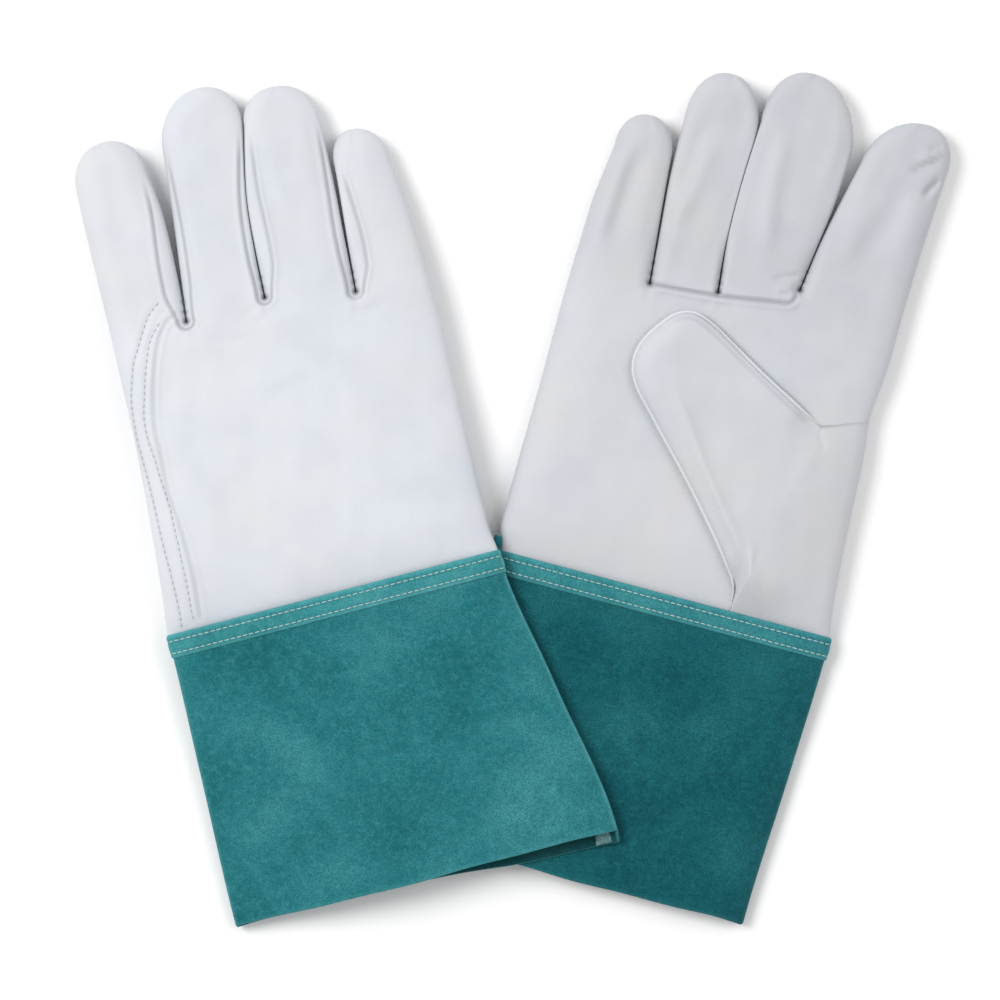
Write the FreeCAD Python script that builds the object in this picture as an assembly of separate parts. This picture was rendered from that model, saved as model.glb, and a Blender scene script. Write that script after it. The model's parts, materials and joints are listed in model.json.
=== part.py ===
"""A pair of gas-shielded-arc welding gloves: grain-leather hands and split-leather gauntlet cuffs.

Both gloves are for the right hand. The "over" glove lies back up with its thumb folded under the palm, and
its cuff rests on the cuff of the "under" glove, which lies palm up with its thumb folded over the palm.

Millimetres. +X is to the right and +Y towards the fingertips as the pair is laid out, +Z is up, and the
origin is on the table under the centre of the pair. Each glove is described in its own plane: u runs from the
index side to the little-finger side, v from the wrist seam to the fingertips, and z is the height above the
table.
"""

import FreeCAD, Part

import math
import os
from FreeCAD import Placement, Rotation, Vector

# ---- leather, thread and clearances ----------------------------------------------------------------------
GRAIN = 1.2  # grain goatskin of the hand
SPLIT = 1.4  # split cowhide of the cuff
THREAD = 0.6  # how far a row of stitching stands proud
THREAD_WIDTH = 0.9
BODY_GAP = 0.6  # between pieces that move against each other
SEAM_GAP = 0.05  # between pieces sewn edge to edge
THREAD_GAP = 0.6  # under a row of stitching on the hand

# ---- sizes shared by the two gloves ----------------------------------------------------------------------
HAND_THICK = 15.0  # the empty hand, puffed by its own leather
FINGER_THICK = 13.5
FINGER_EDGE = 5.4  # radius that the leather takes at a finger's long edges
CUFF_LENGTH = 128.0
CUFF_THICK = 9.6
BAND_DEEP = 10.0  # the turned and double-stitched top edge of the cuff
BAND_PROUD = 0.8
ALLOWANCE = 6.0  # the turned-in edges of the cuff's side seam
ALLOWANCE_TAPER = 3.8
THUMB_THICK = 8.6
THUMB_EDGE = 3.4
THUMB_TIP = (20.0, 101.0)  # centre of the thumb's round end, in u and v
THUMB_TIP_RADIUS = 17.8
WELT = 1.1  # the raised seam round the thumb
CROTCH = (-48.8, 90.0)  # where the thumb leaves the palm below the index finger
THUMB_HEEL = (-31.0, 2.0)  # where the thumb's inner seam meets the cuff
THUMB_SEAM_LIFT = 6.0  # the thumb's seam starts this far above the cuff
GUSSET_TOP = 93.0  # v of the short seam from the crotch to the index side
FOURCHETTE = 4.2  # half the height of a finger's side strip at its root
SOFTNESS = 2.7  # exponent of the flattened tube's cross-section
SIDE_SEAM_T = -22.0  # degrees round the section: the seam on the palm side of the little-finger edge
SIDE_SEAM_OPEN = 0.2  # degrees between the two edges sewn there
GUSSET_TURN = 196.0  # degrees round the section at which the gusset leaves it for the thumb's fold
GUSSET_LIFT = 0.1  # between the gusset's fold and the thumb's outer face
THUMB_OPEN = 6.0  # how far the thumb's hollow runs on past its fold, so that it is open there
BAND_STITCHES = (-2.0, -8.4)  # v of the two rows round the band
RING_POINTS = 15
ROOT_RUN = 14.0  # a finger is made this much too long at its root, then cut square with the hand
FOURCHETTE_SHORT = 2.0  # the side strips end this far before the fingertip
TINY = 1e-3

# ---- room for cutting shapes that have to reach past the gloves ------------------------------------------
SPAN = 150.0
CUT_LOW = -60.0
CUT_HIGH = 90.0

# ---- the two gloves --------------------------------------------------------------------------------------
# hand and cuff stations: v, u at the index side, u at the little-finger side, height of the underside,
# and how far the underside drops at the index side and at the little-finger side.
# fingers: u of the root's middle, root width, width near the tip, lean towards +u in degrees, length.
OVER = {
    "name": "over",
    "at": (-76.36, -40.01),
    "turn": 14.6,
    "mirror": 1,
    "back_up": True,
    "knuckles": 128.0,
    "hand": [
        (0.0, -72.0, 72.0, 10.4, 4.5, -1.0),
        (30.0, -69.0, 72.5, 9.3, 1.0, 1.0),
        (62.0, -66.0, 73.5, 9.2, 0.0, 3.0),
        (GUSSET_TOP, -64.5, 74.0, 9.2, 0.0, 4.5),
        (119.0, -64.0, 74.5, 9.2, 1.0, 4.5),
        (128.0, -64.0, 74.5, 8.6, 2.0, 4.5),
    ],
    "cuff": [
        (0.0, -72.5, 72.5, 12.0, 6.0, -1.0),
        (-BAND_DEEP, -72.8, 74.1, 12.0, 7.0, -1.0),
        (-60.0, -74.5, 82.0, 10.9, 10.5, -0.6),
        (-CUFF_LENGTH, -76.5, 92.0, 10.6, 11.0, 0.0),
    ],
    "fingers": {
        "index": (-47.2, 32.6, 32.0, 2.4, 84.0),
        "middle": (-13.4, 33.0, 35.6, 7.3, 96.0),
        "ring": (23.0, 36.6, 30.6, 5.3, 88.6),
        "little": (58.4, 31.6, 26.6, 0.6, 62.5),
    },
    "finger_root_z": {"index": 7.0, "middle": 8.2, "ring": 8.2, "little": 4.8},
}
UNDER = {
    "name": "under",
    "at": (66.24, -40.91),
    "turn": -14.9,
    "mirror": -1,
    "back_up": False,
    "knuckles": 133.0,
    "hand": [
        (0.0, -72.0, 73.0, 1.3, 0.0, 0.0),
        (7.0, -71.3, 73.9, 0.3, 0.0, 0.0),
        (30.0, -69.0, 75.5, 0.1, 0.0, 0.0),
        (62.0, -66.5, 75.8, 0.1, 0.0, 0.0),
        (GUSSET_TOP, -65.0, 75.8, 0.1, 0.0, 0.0),
        (133.0, -66.5, 75.5, 0.1, 0.0, 0.0),
    ],
    "cuff": [
        (0.0, -72.5, 73.5, 1.3, 0.0, 0.0),
        (-BAND_DEEP, -72.2, 74.9, 1.3, 0.0, 0.0),
        (-60.0, -70.5, 82.0, 0.1, 0.0, 0.0),
        (-CUFF_LENGTH, -68.0, 91.5, 0.1, 0.0, 0.0),
    ],
    "fingers": {
        "index": (-44.6, 42.4, 36.0, -4.2, 89.0),
        "middle": (-4.9, 34.4, 38.6, -1.6, 98.5),
        "ring": (27.4, 28.2, 32.4, 2.0, 90.0),
        "little": (58.6, 32.8, 27.0, 1.6, 64.0),
    },
    "finger_root_z": {"index": 0.0, "middle": 0.0, "ring": 0.0, "little": 0.0},
}

# The double-stitched seam on the back, from the cuff up to the index finger: v and u of its inner edge.
BACK_SEAM = [(0.0, -56.0), (30.0, -55.6), (62.0, -56.4), (GUSSET_TOP, -54.0), (133.0, -36.0)]
STITCH_ROWS = (3.4, 8.6)  # rows of stitching, outward of that edge

FINGERS = ("index", "middle", "ring", "little")
PARTS = "parts"


def station_at(stations, v):
    """The station at v, on the straight lines between the stations given. A station starts with its own v."""
    for one, other in zip(stations, stations[1:]):
        part_way = (v - one[0]) / (other[0] - one[0])
        if part_way <= 1.0:
            return tuple(a + (b - a) * part_way for a, b in zip(one, other))
    return stations[-1]


def stations_between(stations, start, end):
    """The stations from v = start to v = end, with one at each end."""
    low, high = min(start, end), max(start, end)
    inner = [s for s in stations if low < s[0] < high]
    return [station_at(stations, start), *inner, station_at(stations, end)]


def export(glove, node, shape):
    """Write one node of a glove, after checking that it holds sound solids."""
    if not shape.isValid() or not shape.Solids or shape.Volume <= 0:
        raise ValueError(f"{glove['name']}_{node} is not a sound solid")
    shape.exportStep(os.path.join(PARTS, f"{glove['name']}_{node}.step"))


def world(glove, u, v, z):
    """A point of the glove's own plane, in the frame of the pair."""
    turn = math.radians(glove["turn"])
    x = glove["mirror"] * u
    return Vector(
        glove["at"][0] + x * math.cos(turn) - v * math.sin(turn),
        glove["at"][1] + x * math.sin(turn) + v * math.cos(turn),
        z,
    )


def prism(glove, outline, low=CUT_LOW, high=CUT_HIGH):
    """An upright prism over a polygon given in the glove's own plane."""
    corners = [world(glove, u, v, low) for u, v in outline]
    face = Part.Face(Part.makePolygon(corners + corners[:1]))
    return face.extrude(Vector(0, 0, high - low))


# ---- flattened leather tubes -----------------------------------------------------------------------------
def signed_power(x, power):
    return math.copysign(abs(x) ** power, x)


def smooth(x):
    x = min(1.0, max(0.0, x))
    return x * x * (3.0 - 2.0 * x)


def underside(station, u):
    """Height of the underside at u: level in the middle, dropping towards either side."""
    _, left, right, height, drop_left, drop_right = station
    middle, half = (left + right) / 2.0, (right - left) / 2.0
    x = (u - middle) / half
    return height - drop_left * smooth((-x - 0.25) / 0.7) - drop_right * smooth((x - 0.45) / 0.5)


def ring_point(glove, station, thick, degrees, inset):
    """A point on the tube's cross-section. 0 is the little-finger edge, 90 the top and 180 the index edge."""
    v, left, right = station[:3]
    angle = math.radians(degrees)
    half = (right - left) / 2.0 - inset
    u = (left + right) / 2.0 + half * signed_power(math.cos(angle), 2.0 / SOFTNESS)
    rise = (thick / 2.0 - inset) * signed_power(math.sin(angle), 2.0 / SOFTNESS)
    return world(glove, u, v, underside(station, u) + thick / 2.0 + rise)


def ring_angle(station, u, top):
    """Degrees round the section at which the tube's top or underside is at u."""
    left, right = station[1:3]
    x = (u - (left + right) / 2.0) / ((right - left) / 2.0)
    angle = math.degrees(math.acos(signed_power(x, SOFTNESS / 2.0)))
    return angle if top else 360.0 - angle


def curve(points):
    spline = Part.BSplineCurve()
    spline.interpolate(points)
    return spline.toShape()


def spread(start, end, points):
    """Even angles from start to end, with one on the tube's long edge if the arc passes it."""
    passed = [edge for edge in (-180.0, 0.0, 180.0) if min(start, end) < edge < max(start, end)]
    corners = [start, *passed, end]
    steps = [start]
    for a, b in zip(corners, corners[1:]):
        count = points // (len(corners) - 1)
        steps += [a + (b - a) * (i + 1) / count for i in range(count)]
    return steps


def sector(glove, stations, thick, start, end, outer, inner, points=RING_POINTS):
    """Leather that follows the tube between two angles, each a function of the station."""
    wires = []
    for s in stations:
        steps = spread(start(s), end(s), points)
        outside = [ring_point(glove, s, thick, t, outer) for t in steps]
        inside = [ring_point(glove, s, thick, t, inner) for t in reversed(steps)]
        sides = [
            curve(outside),
            Part.makeLine(outside[-1], inside[0]),
            curve(inside),
            Part.makeLine(inside[-1], outside[0]),
        ]
        wires.append(Part.Wire(sides))
    return Part.makeLoft(wires, True, True)


# ---- the hand --------------------------------------------------------------------------------------------
def hinge_u(v):
    """u of the line along which the thumb folds away from the palm."""
    slope = (CROTCH[0] - THUMB_HEEL[0]) / (CROTCH[1] - THUMB_HEEL[1])
    return THUMB_HEEL[0] + slope * (v - THUMB_HEEL[1])


def facing(glove, degrees):
    """An angle given for a glove that lies back up, for this glove."""
    return degrees if glove["back_up"] else -degrees


def seam_angle(glove, station, offset=0.0):
    angle = ring_angle(station, station_at(BACK_SEAM, station[0])[1] - offset, True)
    return facing(glove, angle)


def hand_ends(glove):
    return BODY_GAP / 2.0, glove["knuckles"] - BODY_GAP / 2.0


def hand_back(glove):
    stations = stations_between(glove["hand"], *hand_ends(glove))
    return sector(
        glove,
        stations,
        HAND_THICK,
        lambda s: facing(glove, SIDE_SEAM_T),
        lambda s: seam_angle(glove, s),
        0.0,
        GRAIN,
    )


def hand_palm(glove):
    """The palm, which wraps round the index side onto the back above the thumb's gusset."""
    low, high = hand_ends(glove)
    full = sector(
        glove,
        stations_between(glove["hand"], low, high),
        HAND_THICK,
        lambda s: seam_angle(glove, s, SEAM_GAP),
        lambda s: facing(glove, 360.0 + SIDE_SEAM_T - SIDE_SEAM_OPEN),
        0.0,
        GRAIN,
        2 * RING_POINTS,
    )
    heel_u = hinge_u(0.0)
    below = [(-SPAN, -SPAN), (heel_u, -SPAN), (heel_u, 0.0)]
    above = [CROTCH, (CROTCH[0], GUSSET_TOP), (-SPAN, GUSSET_TOP)]
    return full.cut(prism(glove, below + above))


def thumb_low(glove):
    """Height of the thumb's lower face."""
    return 0.0 if glove["back_up"] else HAND_THICK + 1.3 * BODY_GAP


def thumb_outer(glove):
    """Height of the thumb's outer face, where its leather runs on into the gusset."""
    return thumb_low(glove) + (0.0 if glove["back_up"] else THUMB_THICK)


def gusset_wire(glove, station):
    """From the back seam round the index side, then straight across to the fold at the thumb."""
    v = station[0]
    start = seam_angle(glove, station, SEAM_GAP)
    end = facing(glove, GUSSET_TURN)
    steps = spread(start, end, RING_POINTS)
    outside = [ring_point(glove, station, HAND_THICK, t, 0.0) for t in steps]
    inside = [ring_point(glove, station, HAND_THICK, t, GRAIN) for t in reversed(steps)]
    inward = 1.0 if glove["back_up"] else -1.0
    fold_u = hinge_u(v) - BODY_GAP
    fold_out = world(glove, fold_u, v, thumb_outer(glove) + inward * GUSSET_LIFT)
    fold_in = world(glove, fold_u, v, thumb_outer(glove) + inward * (GRAIN + GUSSET_LIFT))
    return Part.Wire(
        [
            curve(outside),
            Part.makeLine(outside[-1], fold_out),
            Part.makeLine(fold_out, fold_in),
            Part.makeLine(fold_in, inside[0]),
            curve(inside),
            Part.makeLine(inside[-1], outside[0]),
        ]
    )


def thumb_gusset(glove):
    low = hand_ends(glove)[0]
    stations = stations_between(glove["hand"], low, GUSSET_TOP - SEAM_GAP)
    return Part.makeLoft([gusset_wire(glove, s) for s in stations], True, True)


def back_seam_stitching(glove):
    """Two rows of thread beside the seam on the back."""
    rows = []
    stations = stations_between(glove["hand"], *hand_ends(glove))
    for offset in STITCH_ROWS:

        def start(s, offset=offset):
            return seam_angle(glove, s, offset)

        def end(s, offset=offset):
            return seam_angle(glove, s, offset + THREAD_WIDTH)

        rows.append(
            sector(glove, stations, HAND_THICK, start, end, -THREAD_GAP - THREAD, -THREAD_GAP, 3)
        )
    return Part.makeCompound(rows)


# ---- the cuff --------------------------------------------------------------------------------------------
def tube(glove, stations, thick, outer, inner):
    """A closed flattened tube between two offsets of the section."""

    def wires(inset):
        for s in stations:
            steps = [360.0 * i / (2 * RING_POINTS) for i in range(2 * RING_POINTS)]
            spline = Part.BSplineCurve()
            spline.interpolate([ring_point(glove, s, thick, t, inset) for t in steps], PeriodicFlag=True)
            yield Part.Wire(spline.toShape())

    outside = Part.makeLoft(list(wires(outer)), True, True)
    inside = Part.makeLoft(list(wires(inner)), True, True)
    return outside.cut(inside)


def cuff(glove):
    return tube(glove, stations_between(glove["cuff"], -BODY_GAP / 2.0, -CUFF_LENGTH), CUFF_THICK, 0.0, SPLIT)


def cuff_band(glove):
    stations = stations_between(glove["cuff"], -BODY_GAP / 2.0, -BAND_DEEP)
    return tube(glove, stations, CUFF_THICK, -SEAM_GAP - BAND_PROUD, -SEAM_GAP)


def band_stitching(glove):
    """Two rows of thread round the band."""
    proud = SEAM_GAP + BAND_PROUD + SEAM_GAP
    rows = []
    for v in BAND_STITCHES:
        stations = stations_between(glove["cuff"], v, v - THREAD_WIDTH)
        rows.append(tube(glove, stations, CUFF_THICK, -proud - THREAD / 2.0, -proud))
    return Part.makeCompound(rows)


def cuff_side_seam(glove):
    """The turned-in seam allowance along the little-finger edge, inside the cuff."""
    wires = []
    for s in stations_between(glove["cuff"], -BODY_GAP - 1.0, -CUFF_LENGTH):
        root = s[2] - SPLIT - 0.4
        full = root - ALLOWANCE_TAPER
        end = full - ALLOWANCE
        middle = underside(s, root) + CUFF_THICK / 2.0
        section = [(root, 0.2), (full, SPLIT), (end, SPLIT), (end, -SPLIT), (full, -SPLIT), (root, -0.2)]
        corners = [world(glove, u, s[0], middle + z) for u, z in section]
        wires.append(Part.makePolygon(corners + corners[:1]))
    return Part.makeLoft(wires, True, True)


# ---- fingers ---------------------------------------------------------------------------------------------
def finger_slab(length, root, tip, inset):
    """A flat finger with a round end and rounded edges, along +X from -ROOT_RUN, inset on every side."""
    radius = tip / 2.0 - inset
    centre = length - tip / 2.0
    taper = math.atan((root - tip) / 2.0 / centre)
    touch_x = centre + radius * math.sin(taper)
    touch_y = radius * math.cos(taper)
    back = -ROOT_RUN - inset
    back_y = touch_y + math.tan(taper) * (touch_x - back)
    low = [Vector(back, -back_y, inset), Vector(touch_x, -touch_y, inset)]
    high = [Vector(touch_x, touch_y, inset), Vector(back, back_y, inset)]
    outline = Part.Wire(
        [
            Part.makeLine(*low),
            Part.Arc(low[1], Vector(centre + radius, 0, inset), high[0]).toShape(),
            Part.makeLine(*high),
            Part.makeLine(high[1], low[0]),
        ]
    )
    slab = Part.Face(outline).extrude(Vector(0, 0, FINGER_THICK - 2.0 * inset))
    rims = [e for e in slab.Edges if is_rim(e, back)]
    return slab.makeFillet(FINGER_EDGE - inset, rims)


def is_rim(edge, back):
    """A level edge that isn't on the end at x = back."""
    box = edge.BoundBox
    return box.ZLength < TINY and box.XMax > back + TINY


def fourchette_wedge(length, side):
    """Room for the strip on one side of a finger: full height at the root and nothing at the tip."""
    middle = FINGER_THICK / 2.0
    tip = length - FOURCHETTE_SHORT
    slope = FOURCHETTE / tip
    root = FOURCHETTE + slope * ROOT_RUN
    corners = [
        Vector(-ROOT_RUN - TINY, 0, middle - root),
        Vector(tip, 0, middle),
        Vector(-ROOT_RUN - TINY, 0, middle + root),
    ]
    face = Part.Face(Part.makePolygon(corners + corners[:1]))
    return face.extrude(Vector(0, side * SPAN, 0))


def half_space(above):
    """Everything above or below a flat finger's middle plane."""
    low = FINGER_THICK / 2.0 - (0.0 if above else SPAN)
    return Part.makeBox(2.0 * SPAN, 2.0 * SPAN, SPAN, Vector(-SPAN, -SPAN, low))


def finger_placement(glove, name):
    """Lay a finger along its own lean and let its tip down to the table."""
    root_u, _, _, lean, length = glove["fingers"][name]
    drop = glove["finger_root_z"][name]
    pitch = math.degrees(math.asin(drop / length))
    towards = 90.0 + glove["turn"] - glove["mirror"] * lean
    turn = Rotation(Vector(0, 0, 1), towards)
    tilt = Rotation(Vector(0, 1, 0), pitch)
    return Placement(world(glove, root_u, glove["knuckles"], drop), turn.multiply(tilt))


def finger_pieces(glove, name):
    """The leather pieces of one finger, in place, cut square with the knuckle line."""
    _, root, tip, _, length = glove["fingers"][name]
    shell = finger_slab(length, root, tip, 0.0).cut(finger_slab(length, root, tip, GRAIN))
    strips = {}
    if name != "index":
        strips["index_side"] = fourchette_wedge(length, glove["mirror"])
    if name != "little":
        strips["little_side"] = fourchette_wedge(length, -glove["mirror"])
    pieces = {f"{name}_fourchette_{side}": shell.common(wedge) for side, wedge in strips.items()}
    body = shell
    for wedge in strips.values():
        body = body.cut(wedge)
    if name == "index":
        pieces["index_wrap"] = body
    else:
        pieces[f"{name}_back"] = body.common(half_space(glove["back_up"]))
        pieces[f"{name}_front"] = body.common(half_space(not glove["back_up"]))
    root_v = glove["knuckles"] + BODY_GAP / 2.0
    keep = prism(glove, [(-SPAN, root_v), (SPAN, root_v), (SPAN, root_v + SPAN), (-SPAN, root_v + SPAN)])
    placement = finger_placement(glove, name)
    placed = {}
    for node, piece in pieces.items():
        piece.Placement = placement
        placed[node] = piece.common(keep)
    return placed


# ---- thumb -----------------------------------------------------------------------------------------------
def tangent_point(corner, clockwise, radius):
    """Where a straight seam from a corner meets the thumb's round end."""
    dx, dy = corner[0] - THUMB_TIP[0], corner[1] - THUMB_TIP[1]
    away = math.hypot(dx, dy)
    angle = math.atan2(dy, dx) + (-1 if clockwise else 1) * math.acos(radius / away)
    return THUMB_TIP[0] + radius * math.cos(angle), THUMB_TIP[1] + radius * math.sin(angle)


def thumb_slab(glove, inset, low, high, edge, back=0.0):
    """The thumb lying flat between two heights: straight sides, a round end, open ground towards the fold."""
    radius = THUMB_TIP_RADIUS - inset
    crotch_v = CROTCH[1] - inset * 1.2
    heel_v = THUMB_HEEL[1] + THUMB_SEAM_LIFT + inset * 1.6
    crotch = (hinge_u(crotch_v) - back, crotch_v)
    heel = (hinge_u(heel_v) - back, heel_v)
    upper = tangent_point(crotch, True, radius)
    lower = tangent_point(heel, False, radius)
    along = math.atan2(
        THUMB_TIP[1] - (crotch[1] + heel[1]) / 2.0,
        THUMB_TIP[0] - (crotch[0] + heel[0]) / 2.0,
    )
    far = (THUMB_TIP[0] + radius * math.cos(along), THUMB_TIP[1] + radius * math.sin(along))
    points = [world(glove, *p, low) for p in (crotch, upper, far, lower, heel)]
    outline = Part.Wire(
        [
            Part.makeLine(points[0], points[1]),
            Part.Arc(points[1], points[2], points[3]).toShape(),
            Part.makeLine(points[3], points[4]),
            Part.makeLine(points[4], points[0]),
        ]
    )
    slab = Part.Face(outline).extrude(Vector(0, 0, high - low))
    rims = [
        e
        for e in slab.Edges
        if e.BoundBox.ZLength < TINY and not lies_between(e, points[4], points[0])
    ]
    return slab.makeFillet(edge, rims) if edge else slab


def lies_between(edge, start, end):
    """Whether a level edge runs from above or below start to above or below end."""
    ends = [Vector(p.Point.x, p.Point.y, 0) for p in edge.Vertexes]
    flat = [Vector(start.x, start.y, 0), Vector(end.x, end.y, 0)]
    return all(min(p.distanceToPoint(q) for q in flat) < TINY for p in ends)


def thumb_pieces(glove):
    low = thumb_low(glove)
    high = low + THUMB_THICK
    middle = (low + high) / 2.0
    outer = thumb_slab(glove, WELT, low, high, THUMB_EDGE)
    inner = thumb_slab(glove, WELT + GRAIN, low + GRAIN, high - GRAIN, THUMB_EDGE - GRAIN, THUMB_OPEN)
    shell = outer.cut(inner)
    span = [(-SPAN, -SPAN), (SPAN, -SPAN), (SPAN, SPAN), (-SPAN, SPAN)]
    half_welt = WELT / 2.0
    above = prism(glove, span, middle + half_welt, CUT_HIGH)
    below = prism(glove, span, CUT_LOW, middle - half_welt)
    upper, lower = shell.common(above), shell.common(below)
    rim = thumb_slab(glove, 0.0, middle - half_welt, middle + half_welt, 0.0)
    core = thumb_slab(glove, WELT + GRAIN, middle - WELT, middle + WELT, 0.0, THUMB_OPEN)
    back, front = (upper, lower) if glove["back_up"] else (lower, upper)
    return {"thumb_outer": front, "thumb_inner": back, "thumb_welt": rim.cut(core)}


# ---- build -----------------------------------------------------------------------------------------------
def build(glove):
    """Make every piece of one glove and write it out."""
    pieces = {
        "hand_back": hand_back(glove),
        "hand_palm": hand_palm(glove),
        "thumb_gusset": thumb_gusset(glove),
        "back_seam_stitching": back_seam_stitching(glove),
        "cuff": cuff(glove),
        "cuff_band": cuff_band(glove),
        "band_stitching": band_stitching(glove),
        "cuff_side_seam": cuff_side_seam(glove),
        **thumb_pieces(glove),
    }
    for name in FINGERS:
        pieces.update(finger_pieces(glove, name))
    for node, shape in pieces.items():
        export(glove, node, shape)


os.makedirs(PARTS, exist_ok=True)
for each in (OVER, UNDER):
    build(each)
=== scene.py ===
"""The looks of a pair of welding gloves: grain-leather hands and split-leather gauntlet cuffs.

Lengths are millimetres in each glove's own plane, and metres in the frame. In a glove's plane u runs from the
index side to the little-finger side, v from the wrist seam to the fingertips, and z is the height over the
floor. The wrist joint of each glove gives its place and direction in the frame.
"""

import json
import math

import bmesh
import bpy
import numpy as np
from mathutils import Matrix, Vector


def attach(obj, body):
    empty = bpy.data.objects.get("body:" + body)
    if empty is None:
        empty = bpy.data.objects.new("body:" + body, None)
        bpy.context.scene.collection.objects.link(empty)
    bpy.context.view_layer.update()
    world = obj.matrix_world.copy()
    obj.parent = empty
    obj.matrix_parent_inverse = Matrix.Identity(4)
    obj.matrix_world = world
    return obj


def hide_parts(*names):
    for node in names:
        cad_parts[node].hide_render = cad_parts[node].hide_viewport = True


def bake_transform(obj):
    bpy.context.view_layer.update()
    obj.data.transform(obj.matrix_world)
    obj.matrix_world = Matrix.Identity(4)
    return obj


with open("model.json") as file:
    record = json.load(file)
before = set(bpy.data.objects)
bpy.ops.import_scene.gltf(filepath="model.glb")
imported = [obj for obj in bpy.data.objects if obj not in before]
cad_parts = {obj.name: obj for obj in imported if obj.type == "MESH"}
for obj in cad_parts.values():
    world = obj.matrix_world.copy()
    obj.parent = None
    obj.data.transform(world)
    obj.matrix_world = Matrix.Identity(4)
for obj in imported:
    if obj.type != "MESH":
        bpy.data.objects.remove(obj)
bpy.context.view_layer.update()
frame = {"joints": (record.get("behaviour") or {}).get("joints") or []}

MM = 0.001
JOINTS = {joint["name"]: joint for joint in frame["joints"]}
FINGERS = ("index", "middle", "ring", "little")

# ---- how fine the leather's mesh is ----
ACROSS_FINGER = 48
HAND_ROWS = 128
FINGER_ROWS = 60
TIP_ROWS = 16
TUCK = 8.0  # how far the hand's leather runs on under the cuff's band
GRAIN = 1.0  # thickness of the grain leather
FLOOR_GAP = 0.05  # no leather lies lower than this
TIP_HEIGHT = 6.9  # height of the middle plane at the fingertips
PALM_STRIP = 1.6  # width of the fingers' side strips that shows on the palm's side
FOLD_STRENGTH = 1.7  # for the heights in FOLDS
# How far from an outline and from a finger's gap the leather is fully puffed, along v, for the side that
# faces up (1) and the side that faces down (-1), and how square its edge is.
OUTLINE_PUFF = {
    1: [(-12, 20), (20, 26), (90, 24), (132, 15), (230, 13.5)],
    -1: [(-12, 16), (90, 14), (140, 9), (230, 9)],
}
GAP_PUFF = {1: [(90, 6.5), (124, 7.5), (150, 9.5), (230, 10.5)], -1: [(90, 6), (124, 7), (150, 9), (230, 9)]}
SQUARENESS = {1: 2.3, -1: 2.6}

# ---- thread ----
STITCH_PITCH = 2.7
STITCH_SIDES = 6
STITCH_SHAPE = [(-0.5, 0.25), (-0.36, 0.8), (0.0, 1.0), (0.36, 0.8), (0.5, 0.25)]  # place along it, fatness
BACK_STITCH = (1.8, 0.24)  # length and radius
BAND_STITCH = (2.25, 0.30)
BAND_ROWS = (-2.3, -7.5)

# ---- the cuff ----
SPLIT = 1.4  # thickness of the split leather
BAND = 9.6  # width of the turned band
BAND_PROUD = 0.85  # how far the band stands out of the cuff
HEM = -128.0  # v of the cuff's lower edge
CUFF_HALF = 4.8  # half the cuff's height
CUFF_PUFF = 24.0  # how far from its sides the cuff is fully puffed
CUFF_WIDTH = 150.0
TAB_PLACE = 75.6  # u of the side seam's end that stands out by the under glove's band
TAB_HEIGHT = 6.6
TAB_HALF = 1.75  # half its width
CUFF_ROWS = 80
CUFF_ACROSS = 72
BEND_FROM, BEND_TO = -11.0, -42.0  # v of the two points worked out for a bend at the wrist, which nothing uses
FINGER_BEND = 28.0  # length between the two points worked out for a bend at a finger's root, which nothing uses
THUMB_BEND = 20.0

# ---- the thumb ----
CROTCH = (-44.8, 87.0)
HEEL = (-27.5, 0.3)
GUSSET_EDGE = (-64.4, 95.0)  # where the gusset's short seam meets the index side
THUMB_CLEAR = 0.5  # between the thumb and the palm that it lies on
THUMB_DEEP = 7.0
THUMB_RIM = 2.4  # height of the thumb's seam over the palm
THUMB_LOWER = [HEEL, (-26.2, 11.0), (-20.6, 20.3), (-9.1, 34.6), (4.6, 50.2), (16.9, 63.2), (27.4, 74.4)]
THUMB_LOWER += [(34.8, 82.4), (38.8, 89.6), (39.4, 97.2), (36.9, 104.6), (32.1, 111.9)]
THUMB_UPPER = [CROTCH, (-32.7, 92.6), (-15.7, 101.4), (1.7, 111.4), (10.4, 116.3), (18.0, 119.2)]
THUMB_UPPER += [(23.4, 118.9), (28.2, 116.2), (32.1, 111.9)]
CROTCH_FOLDS = [
    ([(-44.2, 86.0), (-45.6, 82.6), (-49.6, 77.2)], -1.3, 1.3),
    ([(-46.0, 86.0), (-51.0, 84.0), (-58.0, 81.2)], -0.5, 1.5),
    ([(-46.5, 80.0), (-44.0, 72.0), (-43.6, 62.0)], 0.5, 3.0),
]
THUMB_RIDGE = [
    (23.5, 90.7), (13.3, 77.2), (-0.8, 57.4), (-14.2, 40.3), (-27.2, 24.6), (-36.0, 10.0), (-41.0, -2.0)
]
WELT_SIDES = 10
WELT_THIN = 0.25  # radius of the welt at its ends
WELT_SWELL = 0.47  # how much thicker it is along its way
WELT_FLAT = 1.35  # how much wider it is than high
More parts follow.
